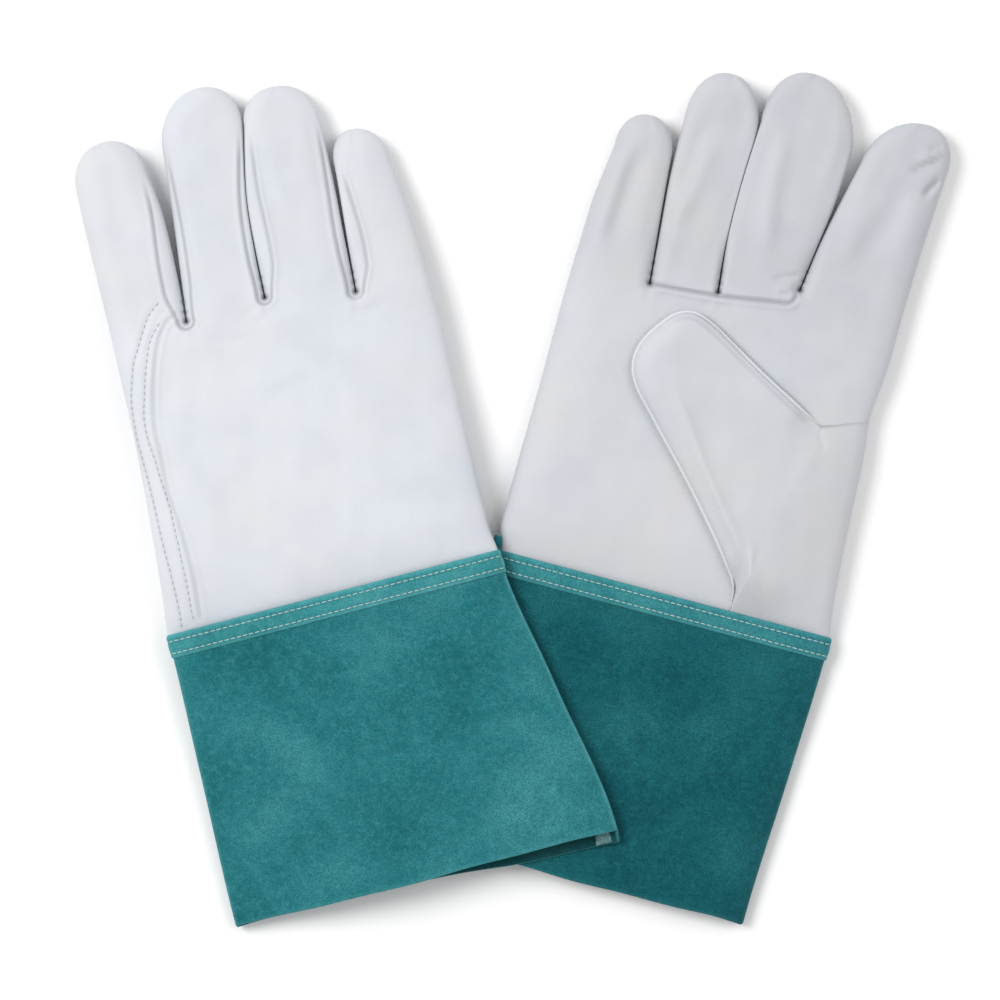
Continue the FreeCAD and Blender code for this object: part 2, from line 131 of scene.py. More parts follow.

# ---- outlines ----
# side, cuff: (v, u) along each side of the hand and of the cuff. middle, drop: height of the leather's
# middle plane and how much it drops at either side, along v. strips: width of the two side strips at each
# gap between fingers. gap_steepness, raised: how steep each gap's sides are, and how high its edges lie.
# finger_darkening: how much darker the fingers are painted. reach: how far the fingers go past the knuckles,
# along u. roots: the points between which the fingers start. fingers: each one's edge on the index side and
# on the little-finger side, from the root to where its round tip starts, and its apex.
OVER = {
    "name": "over",
    "back_up": True,
    "index_side": [(-12, -73), (0, -72.9), (16, -70.9), (48, -67.8), (81, -65.5), (113, -64.4), (127, -64.1)],
    "little_side": [(-12, 73.2), (0, 72.9), (12, 71.6), (45, 72.5), (78, 73.2), (110, 74.1), (123, 74.0)],
    "cuff_index": [(-128, -76.4), (-60, -74.6), (0, -73.0)],
    "cuff_little": [(-128, 92.2), (-60, 82.0), (0, 73.0)],
    "middle": [
        (-128, 15), (-60, 15.3), (-10, 15.9), (0, 15.9), (30, 16.6), (62, 16.7), (116, 16.4), (130, 15)
    ],
    "index_drop": [
        (-128, 10.6), (-60, 9.4), (-10, 6.4), (0, 5.6), (30, 1.6), (62, 0.2), (116, 0.8), (130, 1.4)
    ],
    "little_drop": [(-128, 0.2), (-60, 0.0), (0, 0.4), (30, 1.6), (62, 3.0), (93, 4.2), (130, 3.6)],
    "knuckles": 128.0,
    "strips": [(6.6, 3.6), (3.0, 6.4), (3.4, 6.8)],
    "gap_steepness": (1.0, 1.25, 1.0),
    "raised": (0.15, 0.62, 0.5),
    "finger_darkening": 0.07,
    "reach": [(-47, 84), (-13, 96), (23, 89), (58, 62)],
    "roots": [(-64.1, 126.0), (-31.1, 128.1), (3.8, 129.6), (42.0, 122.3), (74.0, 121.0)],
    "fingers": {
        "index": (
            [(-63.8, 146), (-63.5, 173), (-63.0, 194)],
            [(-29.9, 150), (-29.4, 175), (-31.2, 194)],
            (-46.8, 211.8),
        ),
        "middle": (
            [(-28.4, 150), (-25.4, 175), (-22.5, 204)],
            [(4.6, 150), (6.95, 174), (13.1, 204)],
            (-1.8, 224),
        ),
        "ring": (
            [(5.0, 150), (7.2, 174), (13.5, 203)],
            [(43.0, 145), (44.6, 170), (45.6, 200)],
            (30.2, 216.5),
        ),
        "little": (
            [(44.0, 145), (46.0, 168), (46.6, 177)],
            [(73.7, 137), (72.6, 155), (70.6, 174)],
            (58.6, 190.4),
        ),
    },
}
UNDER = {
    "name": "under",
    "back_up": False,
    "index_side": [
        (-12, -72.2), (0, -71.8), (17, -69.8), (49, -67.7), (82, -66), (95, -64.4), (115, -66.2), (136, -66.7)
    ],
    "little_side": [(-12, 74.4), (0, 73.6), (11, 76.6), (44, 76.3), (78, 75.8), (111, 75.8), (127, 75.5)],
    "cuff_index": [(-128, -67.7), (-60, -70.5), (0, -72.4)],
    "cuff_little": [(-128, 91.4), (-60, 82.0), (0, 74.0)],
    "middle": [(-128, 4.9), (-60, 4.9), (-10, 6.1), (0, 6.1), (30, 7.6), (116, 7.6), (136, 7.1)],
    "index_drop": [(-128, 0.0), (136, 0.0)],
    "little_drop": [(-128, 0.0), (136, 0.0)],
    "knuckles": 133.0,
    "strips": [(4.0, 4.0), (4.0, 4.0), (4.0, 4.0)],
    "gap_steepness": (1.2, 2.3, 1.1),
    "raised": (0.50, 0.90, 0.40),
    "finger_darkening": 0.09,
    "reach": [(-47, 89), (-13, 98), (23, 90), (58, 64)],
    "roots": [(-66.7, 134.5), (-21.3, 140.9), (12.3, 131.0), (41.4, 127.3), (75.5, 125.0)],
    "fingers": {
        "index": (
            [(-66.9, 150), (-67.8, 175), (-69.6, 205)],
            [(-24.1, 160), (-27.6, 178), (-32.4, 200)],
            (-53.0, 223.2),
        ),
        "middle": (
            [(-23.7, 160), (-26.3, 180), (-27.7, 204)],
            [(14.3, 155), (14.5, 180), (13.3, 206)],
            (-4.5, 232),
        ),
        "ring": (
            [(14.5, 155), (14.7, 180), (13.8, 201)],
            [(43.0, 150), (44.9, 175), (45.4, 202)],
            (30.0, 223),
        ),
        "little": (
            [(43.7, 150), (45.6, 172), (46.4, 183)],
            [(75.0, 137), (74.2, 157), (71.2, 181)],
            (60.2, 197),
        ),
    },
}
# The glove's thickness, along v.
THICK = [(-12, 6.0), (0, 6.3), (2.5, 8.6), (9, 12.2), (24, 15.0), (112, 15.0), (138, 13.6), (200, 13.2)]

# ---- seams and creases, in the glove's plane ----
# The seam on the back that runs from the cuff to the forefinger's crotch, and the stitching beside it.
BACK_SEAM = [(-57.4, 2.6), (-56.9, 6.9), (-55.5, 18.9), (-55.2, 30.3), (-55.5, 44.5), (-56.3, 52.6)]
BACK_SEAM += [(-56.8, 59.8), (-56.3, 68.5), (-55.7, 78.1), (-55.7, 84.2), (-54.7, 91.0), (-52.5, 100.1)]
BACK_SEAM += [(-50.3, 107.5), (-46.9, 117.2), (-42.7, 125.8), (-37.3, 131.1), (-32.7, 132.1)]
OUTER_STITCHES = [(-66.1, 2.2), (-65.2, 9.0), (-64.6, 23.0), (-64.5, 41.5), (-64.0, 54.6), (-63.8, 66.0)]
OUTER_STITCHES += [(-63.9, 74.9), (-64.0, 83.7), (-63.4, 92.4), (-62.4, 100.1), (-60.0, 108.3)]
OUTER_STITCHES += [(-57.1, 116.4), (-53.9, 121.7), (-49.9, 128.6), (-45.7, 134.6), (-40.2, 138.9)]
INNER_STITCHES = [(-60.2, 4.2), (-59.7, 12.9), (-58.8, 23.3), (-58.3, 35.5), (-57.7, 49.5), (-57.9, 58.8)]
INNER_STITCHES += [(-58.4, 67.3), (-58.7, 75.3), (-59.3, 81.6), (-59.3, 87.4), (-58.5, 93.8), (-56.6, 100.4)]
INNER_STITCHES += [(-54.1, 108.5), (-51.1, 116.6), (-47.5, 124.4), (-41.9, 130.5)]
# The palm's seam below the middle and ring fingers.
GUNN_SEAM = [(41.3, 126.9), (12.0, 129.4), (-9.0, 132.6), (-18.6, 134.4), (-20.8, 140.0)]
# Soft folds of each glove's upper side: path, height, width. A negative height is a hollow or a crease.
FOLDS = {
    "over": [
        ([(-4, 118), (2, 121.5), (9, 120)], -0.20, 2.0),
        ([(-26, 121), (-20, 116.5), (-6, 114)], -0.18, 2.4),
        ([(36, 116), (46, 113), (56, 115)], -0.20, 2.6),
        ([(-18, 98), (-2, 94), (14, 97)], 0.16, 3.6),
        ([(-56, 178), (-48, 172), (-40, 176)], -0.16, 3.0),
        ([(24, 196), (21, 176), (26, 150)], 0.20, 3.6),
    ],
    "under": [
        ([(38.9, 150), (34.1, 172), (31.3, 198)], 0.95, 4.6),
        ([(37.6, 162), (37.0, 182), (36.4, 204)], -0.60, 4.0),
        ([(1.0, 212), (1.1, 181), (-5.5, 143)], 1.00, 4.4),
        ([(59.1, 186), (61.6, 164), (62.6, 136)], -0.95, 4.4),
        ([(65.1, 187), (67.3, 149), (68.0, 130)], 0.70, 4.0),
        ([(-40, 192), (-38, 170), (-33, 150)], 0.95, 5.4),
        ([(-52, 200), (-49, 176), (-42, 156)], -0.80, 5.6),
        ([(-52.5, 200.7), (-59.1, 205.4), (-67.1, 212.1)], -1.15, 1.4),
        ([(-61.4, 192.0), (-64.4, 197.6), (-67.6, 202.8)], -1.5, 1.5),
        ([(-58.5, 211.2), (-61.4, 213.8), (-65.2, 215.9)], -0.80, 1.3),
        ([(-54.0, 206.5), (-60.0, 209.6), (-66.5, 213.6)], 0.75, 1.8),
        ([(-7.8, 141.7), (-14.0, 144.4), (-20.7, 147.4)], -0.60, 1.3),
        ([(-10.0, 138.4), (-14.0, 139.6), (-19.0, 141.6)], 0.50, 1.8),
        ([(-24, 118), (-40, 112), (-56, 111)], -0.22, 3.5),
        ([(6, 124), (-12, 124), (-30, 117)], 0.25, 3.6),
        ([(30, 30), (44, 60), (52, 96)], 0.20, 9.0),
    ],
}
CUFF_FOLDS = {
    "over": [
        ([(-60, -30), (-20, -52), (10, -90)], 0.35, 9.0),
        ([(40, -28), (50, -70), (70, -112)], -0.35, 9.0),
        ([(-50, -110), (-10, -96), (30, -104)], 0.30, 8.0),
    ],
    "under": [
        ([(-58, -20), (-60, -70), (-57, -122)], 0.60, 2.2),
        ([(-20, -30), (-12, -70), (-26, -110)], -0.35, 9.0),
        ([(10, -40), (24, -80), (20, -116)], 0.30, 8.0),
    ],
}


# ---- curves and distances ----
def smooth_step(x):
    x = np.clip(x, 0.0, 1.0)
    return x * x * (3.0 - 2.0 * x)


def level_curve(points, x):
    """A smooth curve through (x, y) points, level where its slope changes sign."""
    xs, ys = np.array(points, float).T
    slopes = np.diff(ys) / np.diff(xs)
    tangents = np.zeros(len(xs))
    same_way = slopes[:-1] * slopes[1:] > 0
    tangents[1:-1] = np.where(same_way, (slopes[:-1] + slopes[1:]) / 2.0, 0.0)
    x = np.clip(x, xs[0], xs[-1])
    i = np.clip(np.searchsorted(xs, x) - 1, 0, len(xs) - 2)
    run = xs[i + 1] - xs[i]
    t = (x - xs[i]) / run
    return (
        ys[i] * (1 + 2 * t) * (1 - t) ** 2
        + tangents[i] * run * t * (1 - t) ** 2
        + ys[i + 1] * t * t * (3 - 2 * t)
        - tangents[i + 1] * run * t * t * (1 - t)
    )


def lengths_along(points):
    """How far along a line of points each one lies."""
    return np.concatenate([[0], np.cumsum(np.linalg.norm(np.diff(points, axis=0), axis=1))])


def sample(at, along, points):
    """What a line of points has at places along it."""
    return np.column_stack([np.interp(at, along, points[:, k]) for k in range(points.shape[1])])


def path_through(points, count):
    """A smooth plane path through points, as count points an even way apart."""
    points = np.array(points, float)
    ends = np.vstack([2 * points[0] - points[1], points, 2 * points[-1] - points[-2]])
    t = np.linspace(0, 1, 24, endpoint=False)[:, None]
    pieces = []
    for a, b, c, d in zip(ends, ends[1:], ends[2:], ends[3:]):
        pieces.append(b + 0.5 * t * (c - a + t * (2 * a - 5 * b + 4 * c - d + t * (3 * (b - c) + d - a))))
    fine = np.vstack(pieces + [points[-1:]])
    along = lengths_along(fine)
    return sample(np.linspace(0, along[-1], count), along, fine)


def distance(u, v, path):
    """How far each point is from a path, and how far along it the nearest place is, from 0 to 1."""
    point = np.column_stack([np.ravel(u), np.ravel(v)])
    best = np.full(len(point), 1e9)
    where = np.zeros(len(point))
    count = len(path) - 1
    for i in range(count):
        a, d = path[i], path[i + 1] - path[i]
        t = np.clip(((point - a) @ d) / max(d @ d, 1e-12), 0.0, 1.0)
        away = np.hypot(point[:, 0] - a[0] - t * d[0], point[:, 1] - a[1] - t * d[1])
        closer = away < best
        best[closer] = away[closer]
        where[closer] = (i + t[closer]) / count
    return best.reshape(np.shape(u)), where.reshape(np.shape(u))


def dome(d, width, power):
    """How full a puffed edge is, from 0 at the edge to 1 at width from it."""
    x = np.clip(d / width, 0.0, 1.0)
    return np.power(1.0 - np.power(1.0 - x, power), 1.0 / power)


def waves(u, v, length_u, length_v, seed):
    """A gentle uneven swell, about 1 at its highest, with hills about so long each way."""
    rng = np.random.default_rng(seed)
    total = np.zeros(np.shape(u))
    count = 9
    for _ in range(count):
        angle, phase = rng.uniform(0, 2 * math.pi), rng.uniform(0, 2 * math.pi)
        scale = rng.uniform(0.75, 1.35)
        way_u, way_v = math.cos(angle) / length_u, math.sin(angle) / length_v
        total += np.sin(2 * math.pi * scale * (u * way_u + v * way_v) + phase)
    return total / math.sqrt(2.0 * count)


def unit(vector):
    return vector / max(np.linalg.norm(vector), 1e-9)


def line(d, width):
    """A bell across a line: 1 on it, and fading within width."""
    return np.exp(-((d / width) ** 2))


def ends_fade(where, share):
    return smooth_step(where / share) * smooth_step((1.0 - where) / share)


# ---- one glove ----
class Glove:
    """The shape of one glove's leather, as heights over its own plane."""

    def __init__(self, spec):
        self.spec = spec
        self.name = spec["name"]
        self.back_up = spec["back_up"]
        wrist = JOINTS[f"{self.name}_wrist_bend"]
        self.origin = np.array(wrist["pos_m"][:2])
        self.u_axis = -np.array(wrist["axis"][:2])
        self.v_axis = np.array([-self.u_axis[1], self.u_axis[0]]) * (1 if self.back_up else -1)
        self.edges = {name: self.finger_edges(name) for name in FINGERS}
        self.outer = [
            np.vstack([self.side_line("index_side", spec["roots"][0]), self.edges["index"][0]]),
            np.vstack([self.side_line("little_side", spec["roots"][-1]), self.edges["little"][1]]),
        ]
        self.gaps = [
            np.vstack([self.edges[a][1][::-1], self.edges[b][0]])
            for a, b in zip(FINGERS, FINGERS[1:])
        ]
        self.back_seam = path_through(BACK_SEAM, 60)
        self.gunn_seam = path_through(GUNN_SEAM, 40)
        self.thumb_edges = self.make_thumb_edges()

    def side_line(self, side, root):
        """One side of the hand, from the wrist to the outer root of a finger."""
        v = np.linspace(-TUCK - 4.0, root[1], 90)
        return np.column_stack([level_curve(self.spec[side], v), v])

    def world(self, u, v, z):
        """Points of the glove's plane in the frame, in metres."""
        u, v, z = (np.ravel(np.asarray(x, float)) * MM for x in np.broadcast_arrays(u, v, z))
        flat = self.origin + np.outer(u, self.u_axis) + np.outer(v, self.v_axis)
        return np.column_stack([flat, np.maximum(z, FLOOR_GAP * MM)])

    def finger_edges(self, name):
        """A finger's two edges, from its root to its apex, row by row."""
        k = FINGERS.index(name)
        index_edge, little_edge, apex = self.spec["fingers"][name]
        straight = [
            path_through([self.spec["roots"][k], *index_edge], FINGER_ROWS),
            path_through([self.spec["roots"][k + 1], *little_edge], FINGER_ROWS),
        ]
        centre = (straight[0][-1] + straight[1][-1]) / 2.0
        turn = np.linspace(0, math.pi / 2, TIP_ROWS + 1)[1:, None]
        rise = np.array(apex, float) - centre
        return [
            np.vstack([edge, centre + (edge[-1] - centre) * np.cos(turn) ** 0.92 + rise * np.sin(turn)])
            for edge in straight
        ]

    def make_thumb_edges(self):
        """The thumb's two free edges, from the fold to the tip, row by row, closer together at the tip."""
        share = 1.0 - (1.0 - np.linspace(0, 1, FINGER_ROWS + TIP_ROWS)) ** 1.7
        edges = []
        for points in (THUMB_LOWER, THUMB_UPPER):
            fine = path_through(points, 400)
            edges.append(sample(share * (len(fine) - 1), np.arange(len(fine)), fine))
        return edges

    def cuff_sides(self, v, inset=0.0):
        """Where the cuff's two sides are, so far in from its outline."""
        spec = self.spec
        return level_curve(spec["cuff_index"], v) + inset, level_curve(spec["cuff_little"], v) - inset

    def from_outline(self, u, v):
        return np.minimum(*[distance(u, v, path)[0] for path in self.outer])

    def middle(self, u, v):
        """Height of the plane half way between the glove's two sides."""
        spec = self.spec
        hand_v = np.minimum(v, spec["knuckles"])
        left, right = self.cuff_sides(np.minimum(v, 0))
        x = (2.0 * u - left - right) / (right - left)
        height = (
            level_curve(spec["middle"], hand_v)
            - level_curve(spec["index_drop"], hand_v) * smooth_step((-x - 0.15) / 0.8)
            - level_curve(spec["little_drop"], hand_v) * smooth_step((x - 0.35) / 0.6)
        )
        reach = level_curve(spec["reach"], u)
        left_over = np.clip(1.0 - (v - spec["knuckles"]) / reach, 0.0, 1.0)
        return np.where(v > spec["knuckles"], TIP_HEIGHT + (height - TIP_HEIGHT) * left_over, height)

    def strip(self, u, v, path, widths):
        """Distance from a gap, the place of its side strips' seam, and how clearly the seam shows."""
        d, where = distance(u, v, path)
        from_tip = np.minimum(where, 1.0 - where)
        taper = 0.40 + 0.60 * smooth_step((from_tip - 0.08) / 0.30)
        offset = (widths[0] + (widths[1] - widths[0]) * smooth_step((where - 0.43) / 0.14)) * taper
        offset = offset * (0.62 + 0.38 * smooth_step((0.5 - from_tip) / 0.09))
        return d, offset, smooth_step((from_tip - 0.10) / 0.10)

    def raised(self, u, v, outer):
        """How far the edges beside a gap lie over the middle plane, as a share of half the thickness."""
        share = np.zeros(np.shape(u))
        for path, most in zip(self.gaps, self.spec["raised"]):
            d, where = distance(u, v, path)
            from_tip = np.minimum(where, 1.0 - where)
            above = v - path[len(path) // 2][1]
            here = smooth_step((from_tip - 0.03) / 0.12) * smooth_step((above - 5.0) / 24.0)
            share = np.maximum(share, most * here * line(d, 5.0))
        return share * smooth_step((outer - 1.0) / 5.0)

    def edge(self, u, v):
        """Height of the line where the glove's two sides meet."""
        outer = self.from_outline(u, v)
        return self.middle(u, v) + self.raised(u, v, outer) * level_curve(THICK, v) / 2.0

    def up(self, sheet):
        """1 for the sheet of leather that faces up, and -1 for the one that faces down."""
        return 1 if (sheet == "back") == self.back_up else -1

    def fullness(self, sheet, u, v):
        """How full the leather is, from 0 at an edge, and how far the outline and the nearest gap are."""
        outer = self.from_outline(u, v)
        gaps = [distance(u, v, path)[0] for path in self.gaps]
        gap = np.min(gaps, axis=0)
        valley = np.min([d * scale for d, scale in zip(gaps, self.spec["gap_steepness"])], axis=0)
        facing = self.up(sheet)
        outline_width, gap_width = (level_curve(puff[facing], v) for puff in (OUTLINE_PUFF, GAP_PUFF))
        share = np.minimum(outer / outline_width, valley / gap_width)
        return dome(share, 1.0, SQUARENESS[facing]), outer, gap

    def surface(self, sheet, u, v):
        """Height of a sheet of leather at points of the glove's plane, and how much darker it is painted."""
        u, v = np.asarray(u, float), np.asarray(v, float)
        full, outer, gap = self.fullness(sheet, u, v)
        half = level_curve(THICK, v) / 2.0
        relief, seam = self.relief(sheet, u, v, outer, gap)
        facing = self.up(sheet)
        calm = smooth_step((v + 4.0) / 14.0)
        lift = half * self.raised(u, v, outer) * (1.0 - full)
        return self.middle(u, v) + lift + facing * (half * full + relief * calm * np.sqrt(full)), seam

    def relief(self, sheet, u, v, outer, gap):
        """Swells, creases and seams that stand out of the leather."""
        seed = 3 if self.name == "over" else 11
        open_ground = smooth_step((gap - 2.0) / 6.0)
        relief = 0.30 * waves(u, v, 46, 62, seed) + 0.10 * waves(u, v, 15, 24, seed + 1)
        fingers = smooth_step((v - self.spec["knuckles"] + 6) / 24.0)
        relief += fingers * 0.26 * waves(u, v, 15, 90, seed + 2)
        relief *= open_ground
        seam = np.zeros(np.shape(u))
        knuckles = self.spec["knuckles"]
        if sheet == "back":
            # The seams of the side strips, round each gap between two fingers.
            for path, widths in zip(self.gaps, self.spec["strips"]):
                d, offset, shown = self.strip(u, v, path, widths)
                shown = shown * smooth_step((v - knuckles + 12) / 6.0)
                relief += shown * (0.55 * line(d - offset - 1.4, 1.0) - 0.90 * line(d - offset, 0.8))
                relief -= shown * 0.20 * line(d - offset + 2.0, 1.4)
                # The seam's groove is painted darker: dirt in the seam and painted shade.
                seam = np.maximum(seam, 0.38 * line(d - offset, 0.75) * shown)
        # Leather drawn together round each crotch.
        for path in self.gaps:
            crotch = path[len(path) // 2]
            du, dv = u - crotch[0], v - crotch[1]
            away = np.hypot(du, dv)
            below = smooth_step(-dv / 3.0)
            angle = np.arctan2(du, -dv)
            pucker = np.cos(angle * 7.0 + crotch[0]) * line(away - 6.5, 4.5) * below
            relief += 0.10 * pucker
            # Painted shade: a dark spot in each crotch.
            seam = np.maximum(seam, 0.95 * line(away, 1.5))
            # Painted shade: dark marks a little way up the gap, above the crotch.
            seam = np.maximum(seam, 0.75 * line(away - 4.4, 0.8) * (dv > 0) * line(gap, 1.2))
            seam = np.maximum(seam, 0.55 * line(away - 8.6, 0.9) * (dv > 0) * line(gap, 1.0))
        if self.up(sheet) > 0:
            for fold, height, width in FOLDS[self.name]:
                d, where = distance(u, v, path_through(fold, 24))
                relief += FOLD_STRENGTH * height * line(d, width) * ends_fade(where, 0.3)
        # Seams and stitch rows below are painted darker: dirt in the seams and painted shade.
        if sheet == "back":
            d, where = distance(u, v, self.back_seam)
            along = ends_fade(where, 0.02)
            relief += along * (0.45 * line(d - 1.6, 1.2) - 0.60 * line(d, 1.0))
            seam = np.maximum(seam, 0.20 * line(d, 0.8) * along)
            for stitches in (OUTER_STITCHES, INNER_STITCHES):
                d, where = distance(u, v, path_through(stitches, 50))
                relief -= 0.32 * line(d, 0.8) * ends_fade(where, 0.02)
                relief += 0.20 * line(d - 1.8, 1.0) * ends_fade(where, 0.02)
                seam = np.maximum(seam, 0.14 * line(d, 0.6))
        else:
            d, where = distance(u, v, self.gunn_seam)
            along = ends_fade(where, 0.03)
            relief -= 0.95 * line(d, 0.8) * along
            relief += 0.60 * line(d - 2.0, 1.2) * along
            seam = np.maximum(seam, 0.42 * line(d, 0.6) * along)
        # The fingers are painted a little darker than the hand.
        finger_darkening = self.spec["finger_darkening"] * smooth_step((v - knuckles + 34.0) / 50.0)
        return relief, np.maximum(seam, finger_darkening)


# ---- sheets of leather ----
def spread(count, closeness=0.45):
    """Shares from 0 to 1, closer together at both ends."""
    even = np.arange(count + 1) / count
    return closeness * (1.0 - np.cos(np.pi * even)) / 2.0 + (1.0 - closeness) * even


class Skin:
    """Quads gathered from several grids, with the name of the piece of leather that each one belongs to."""

    def __init__(self, mirrored):
        self.points, self.seams, self.deeps, self.quads, self.labels = [], [], [], [], []
        self.total = 0
        self.mirrored = mirrored

    def add(self, points, seam, shape, labels, flip, deep=GRAIN):
        """A grid of points, row by row, with a name for each column and row of quads, and its thickness."""
        rows, columns = shape
        index = self.total + np.arange(rows * columns).reshape(rows, columns)
        a, b, c, d = index[:-1, :-1], index[:-1, 1:], index[1:, 1:], index[1:, :-1]
        corners = (a, d, c, b) if flip != self.mirrored else (a, b, c, d)
        self.quads.append(np.stack(corners, axis=-1).reshape(-1, 4))
        self.labels.append(np.asarray(labels, dtype=object).reshape(-1))
        self.points.append(points)
        self.seams.append(np.ravel(seam))
        self.deeps.append(np.ravel(np.broadcast_to(deep, shape)) * MM)
        self.total += rows * columns

    def weld(self):
        """Joins points that are in the same place, and gives each one a normal."""
        points = np.vstack(self.points)
        keys = np.round(points / 2e-6).astype(np.int64)
        _, first, back = np.unique(keys, axis=0, return_index=True, return_inverse=True)
        back = np.ravel(back)
        self.co = points[first]
        self.seam = np.concatenate(self.seams)[first]
        self.deep = np.concatenate(self.deeps)[first]
        self.faces = back[np.vstack(self.quads)]
        self.label = np.concatenate(self.labels)
        corner = self.co[self.faces]
        normal = np.cross(corner[:, 2] - corner[:, 0], corner[:, 3] - corner[:, 1])
        self.normals = np.zeros_like(self.co)
        for k in range(4):
            np.add.at(self.normals, self.faces[:, k], normal)
        self.normals /= np.maximum(np.linalg.norm(self.normals, axis=1), 1e-12)[:, None]

    def piece(self, label, name, material):
        """One piece of leather as a closed object: its face, its flesh side and its cut edges."""
        faces = self.faces[self.label == label]
        used, back = np.unique(faces, return_inverse=True)
        polygons = []
        for face in back.reshape(-1, 4).tolist():
            ring = [p for i, p in enumerate(face) if p != face[i - 1]]
            if len(set(ring)) > 2:
                polygons.append(ring)
        total = len(used)
        edges = {(a, b) for ring in polygons for a, b in zip(ring, ring[1:] + ring[:1])}
        cut = [(a, b) for a, b in edges if (b, a) not in edges]
        cut.sort()
        top, normals = self.co[used], self.normals[used]
        points = np.vstack([top, top - normals * self.deep[used][:, None]])
        closed = polygons + [[p + total for p in ring[::-1]] for ring in polygons]
        closed += [[b, a, a + total, b + total] for a, b in cut]
        corners = [normals[p] for ring in polygons for p in ring]
        corners += [-normals[p] for ring in polygons for p in ring[::-1]]
        for a, b in cut:
            across = np.cross(points[b] - points[a], normals[a] + normals[b])
            across /= max(np.linalg.norm(across), 1e-12)
            corners += [across] * 4
        seam = np.concatenate([self.seam[used], np.full(total, 0.3)])
        return mesh_object(name, points, closed, material, seam=seam, corners=corners)


def face_outward(mesh):
    shape = bmesh.new()
    shape.from_mesh(mesh)
    bmesh.ops.recalc_face_normals(shape, faces=shape.faces)
    shape.to_mesh(mesh)
    shape.free()


def add_object(name, data):
    thing = bpy.data.objects.new(name, data)
    bpy.context.scene.collection.objects.link(thing)
    return thing


def mesh_object(name, points, polygons, material, seam=None, wear=None, corners=None):
    """A smooth mesh with one material. Each point keeps its place at rest, how much darker it is painted
    (dirt in seams and painted shade) and how much lighter (wear and a painted highlight).
    """
    mesh = bpy.data.meshes.new(name)
    mesh.from_pydata([tuple(p) for p in points], [], polygons)
    mesh.polygons.foreach_set("use_smooth", [True] * len(mesh.polygons))
    rest = mesh.attributes.new("rest", "FLOAT_VECTOR", "POINT")
    rest.data.foreach_set("vector", np.asarray(points, np.float32).ravel())
    for key, values in (("seam", seam), ("wear", wear)):
        held = mesh.attributes.new(key, "FLOAT", "POINT")
        values = np.zeros(len(points)) if values is None else values
        held.data.foreach_set("value", np.asarray(values, np.float32))
    if corners is None:
        face_outward(mesh)
    else:
        mesh.normals_split_custom_set([tuple(n) for n in corners])
    mesh.materials.append(material)
    mesh.update()
    return add_object(name, mesh)


def between(a, b, share):
    """The u and v of points at shares of the way from one line to another."""
    flat = a * (1 - share) + b * share
    return flat[..., 0], flat[..., 1]


def quad_names(u, label):
    return np.full((u.shape[0] - 1, u.shape[1] - 1), label, dtype=object)


def quad_centres(u, v):
    return ((x[1:, 1:] + x[:-1, :-1]) / 2 for x in (u, v))


def hand_grid(glove, skin, sheet):
    """The hand's sheet from under the cuff's band to the knuckles, in the same columns as the fingers."""
    spec = glove.spec
    fractions = spread(ACROSS_FINGER)
    top = []
    for a, b in zip(spec["roots"], spec["roots"][1:]):
        span = np.array(a) * (1 - fractions[:, None]) + np.array(b) * fractions[:, None]
        top.append(span if not top else span[1:])
    top = np.vstack(top)
    share = 1.0 - (1.0 - np.linspace(0, 1, HAND_ROWS)[:, None]) ** 1.3
    v = -TUCK + (top[None, :, 1] + TUCK) * share
    left, right = (level_curve(spec[side], v) for side in ("index_side", "little_side"))
    top_left, top_right = (level_curve(spec[side], top[:, 1]) for side in ("index_side", "little_side"))
    q = (top[:, 0] - top_left) / (top_right - top_left)
    u = left + q[None, :] * (right - left)
    z, seam = glove.surface(sheet, u, v)
    if sheet == "palm":
        z = z - glove.up("palm") * 0.9 * beneath_gusset(glove, u, v)
    middle = glove.middle(u, v)
    z[:, [0, -1]] = middle[:, [0, -1]]
    z[-1, ::ACROSS_FINGER] = middle[-1, ::ACROSS_FINGER]
    labels = quad_names(u, "hand_palm")
    if sheet == "back":
        centre_u, centre_v = quad_centres(u, v)
        seam_u = np.interp(centre_v, glove.back_seam[:, 1], glove.back_seam[:, 0])
        labels[centre_u > seam_u] = "hand_back"
        labels[(centre_u <= seam_u) & (centre_v < GUSSET_EDGE[1])] = "thumb_gusset"
    skin.add(glove.world(u, v, z), seam, u.shape, labels, flip=glove.up(sheet) < 0)


def beneath_gusset(glove, u, v):
    """1 well beneath the gusset, and 0 outside it."""
    side = level_curve(glove.spec["index_side"], v)
    fold = HEEL[0] + (CROTCH[0] - HEEL[0]) * v / CROTCH[1]
    top = CROTCH[1] + (GUSSET_EDGE[1] - CROTCH[1]) * (CROTCH[0] - u) / (CROTCH[0] - GUSSET_EDGE[0])
    inside = np.minimum(np.minimum(u - side, fold - u), np.minimum(top - v - 1.0, v - 1.0))
    return smooth_step(inside / 3.0)


def finger_grid(glove, skin, sheet, name):
    """One side of a finger, with a strip of columns at each edge that belongs to its side strip."""
    index_edge, little_edge = glove.edges[name]
    fractions = spread(ACROSS_FINGER)[None, :, None]
    u, v = between(index_edge[:, None, :], little_edge[:, None, :], fractions)
    z, seam = glove.surface(sheet, u, v)
    edge = glove.edge(u, v)
    z[:, [0, -1]] = edge[:, [0, -1]]
    z[-1] = edge[-1]
    face = "back" if sheet == "back" else "front"
    labels = quad_names(u, "index_wrap" if name == "index" else f"{name}_{face}")
    k = FINGERS.index(name)
    centre_u, centre_v = quad_centres(u, v)
    for side, gap, share in (("index", k - 1, 1), ("little", k, 0)):
        if 0 <= gap < len(glove.gaps):
            width = glove.spec["strips"][gap][share] if sheet == "back" else PALM_STRIP
            d, offset, shown = glove.strip(centre_u, centre_v, glove.gaps[gap], (width, width))
            labels[(d < offset) & (shown > 0.3)] = f"{name}_fourchette_{side}_side"
    skin.add(glove.world(u, v, z), seam, u.shape, labels, flip=glove.up(sheet) < 0)


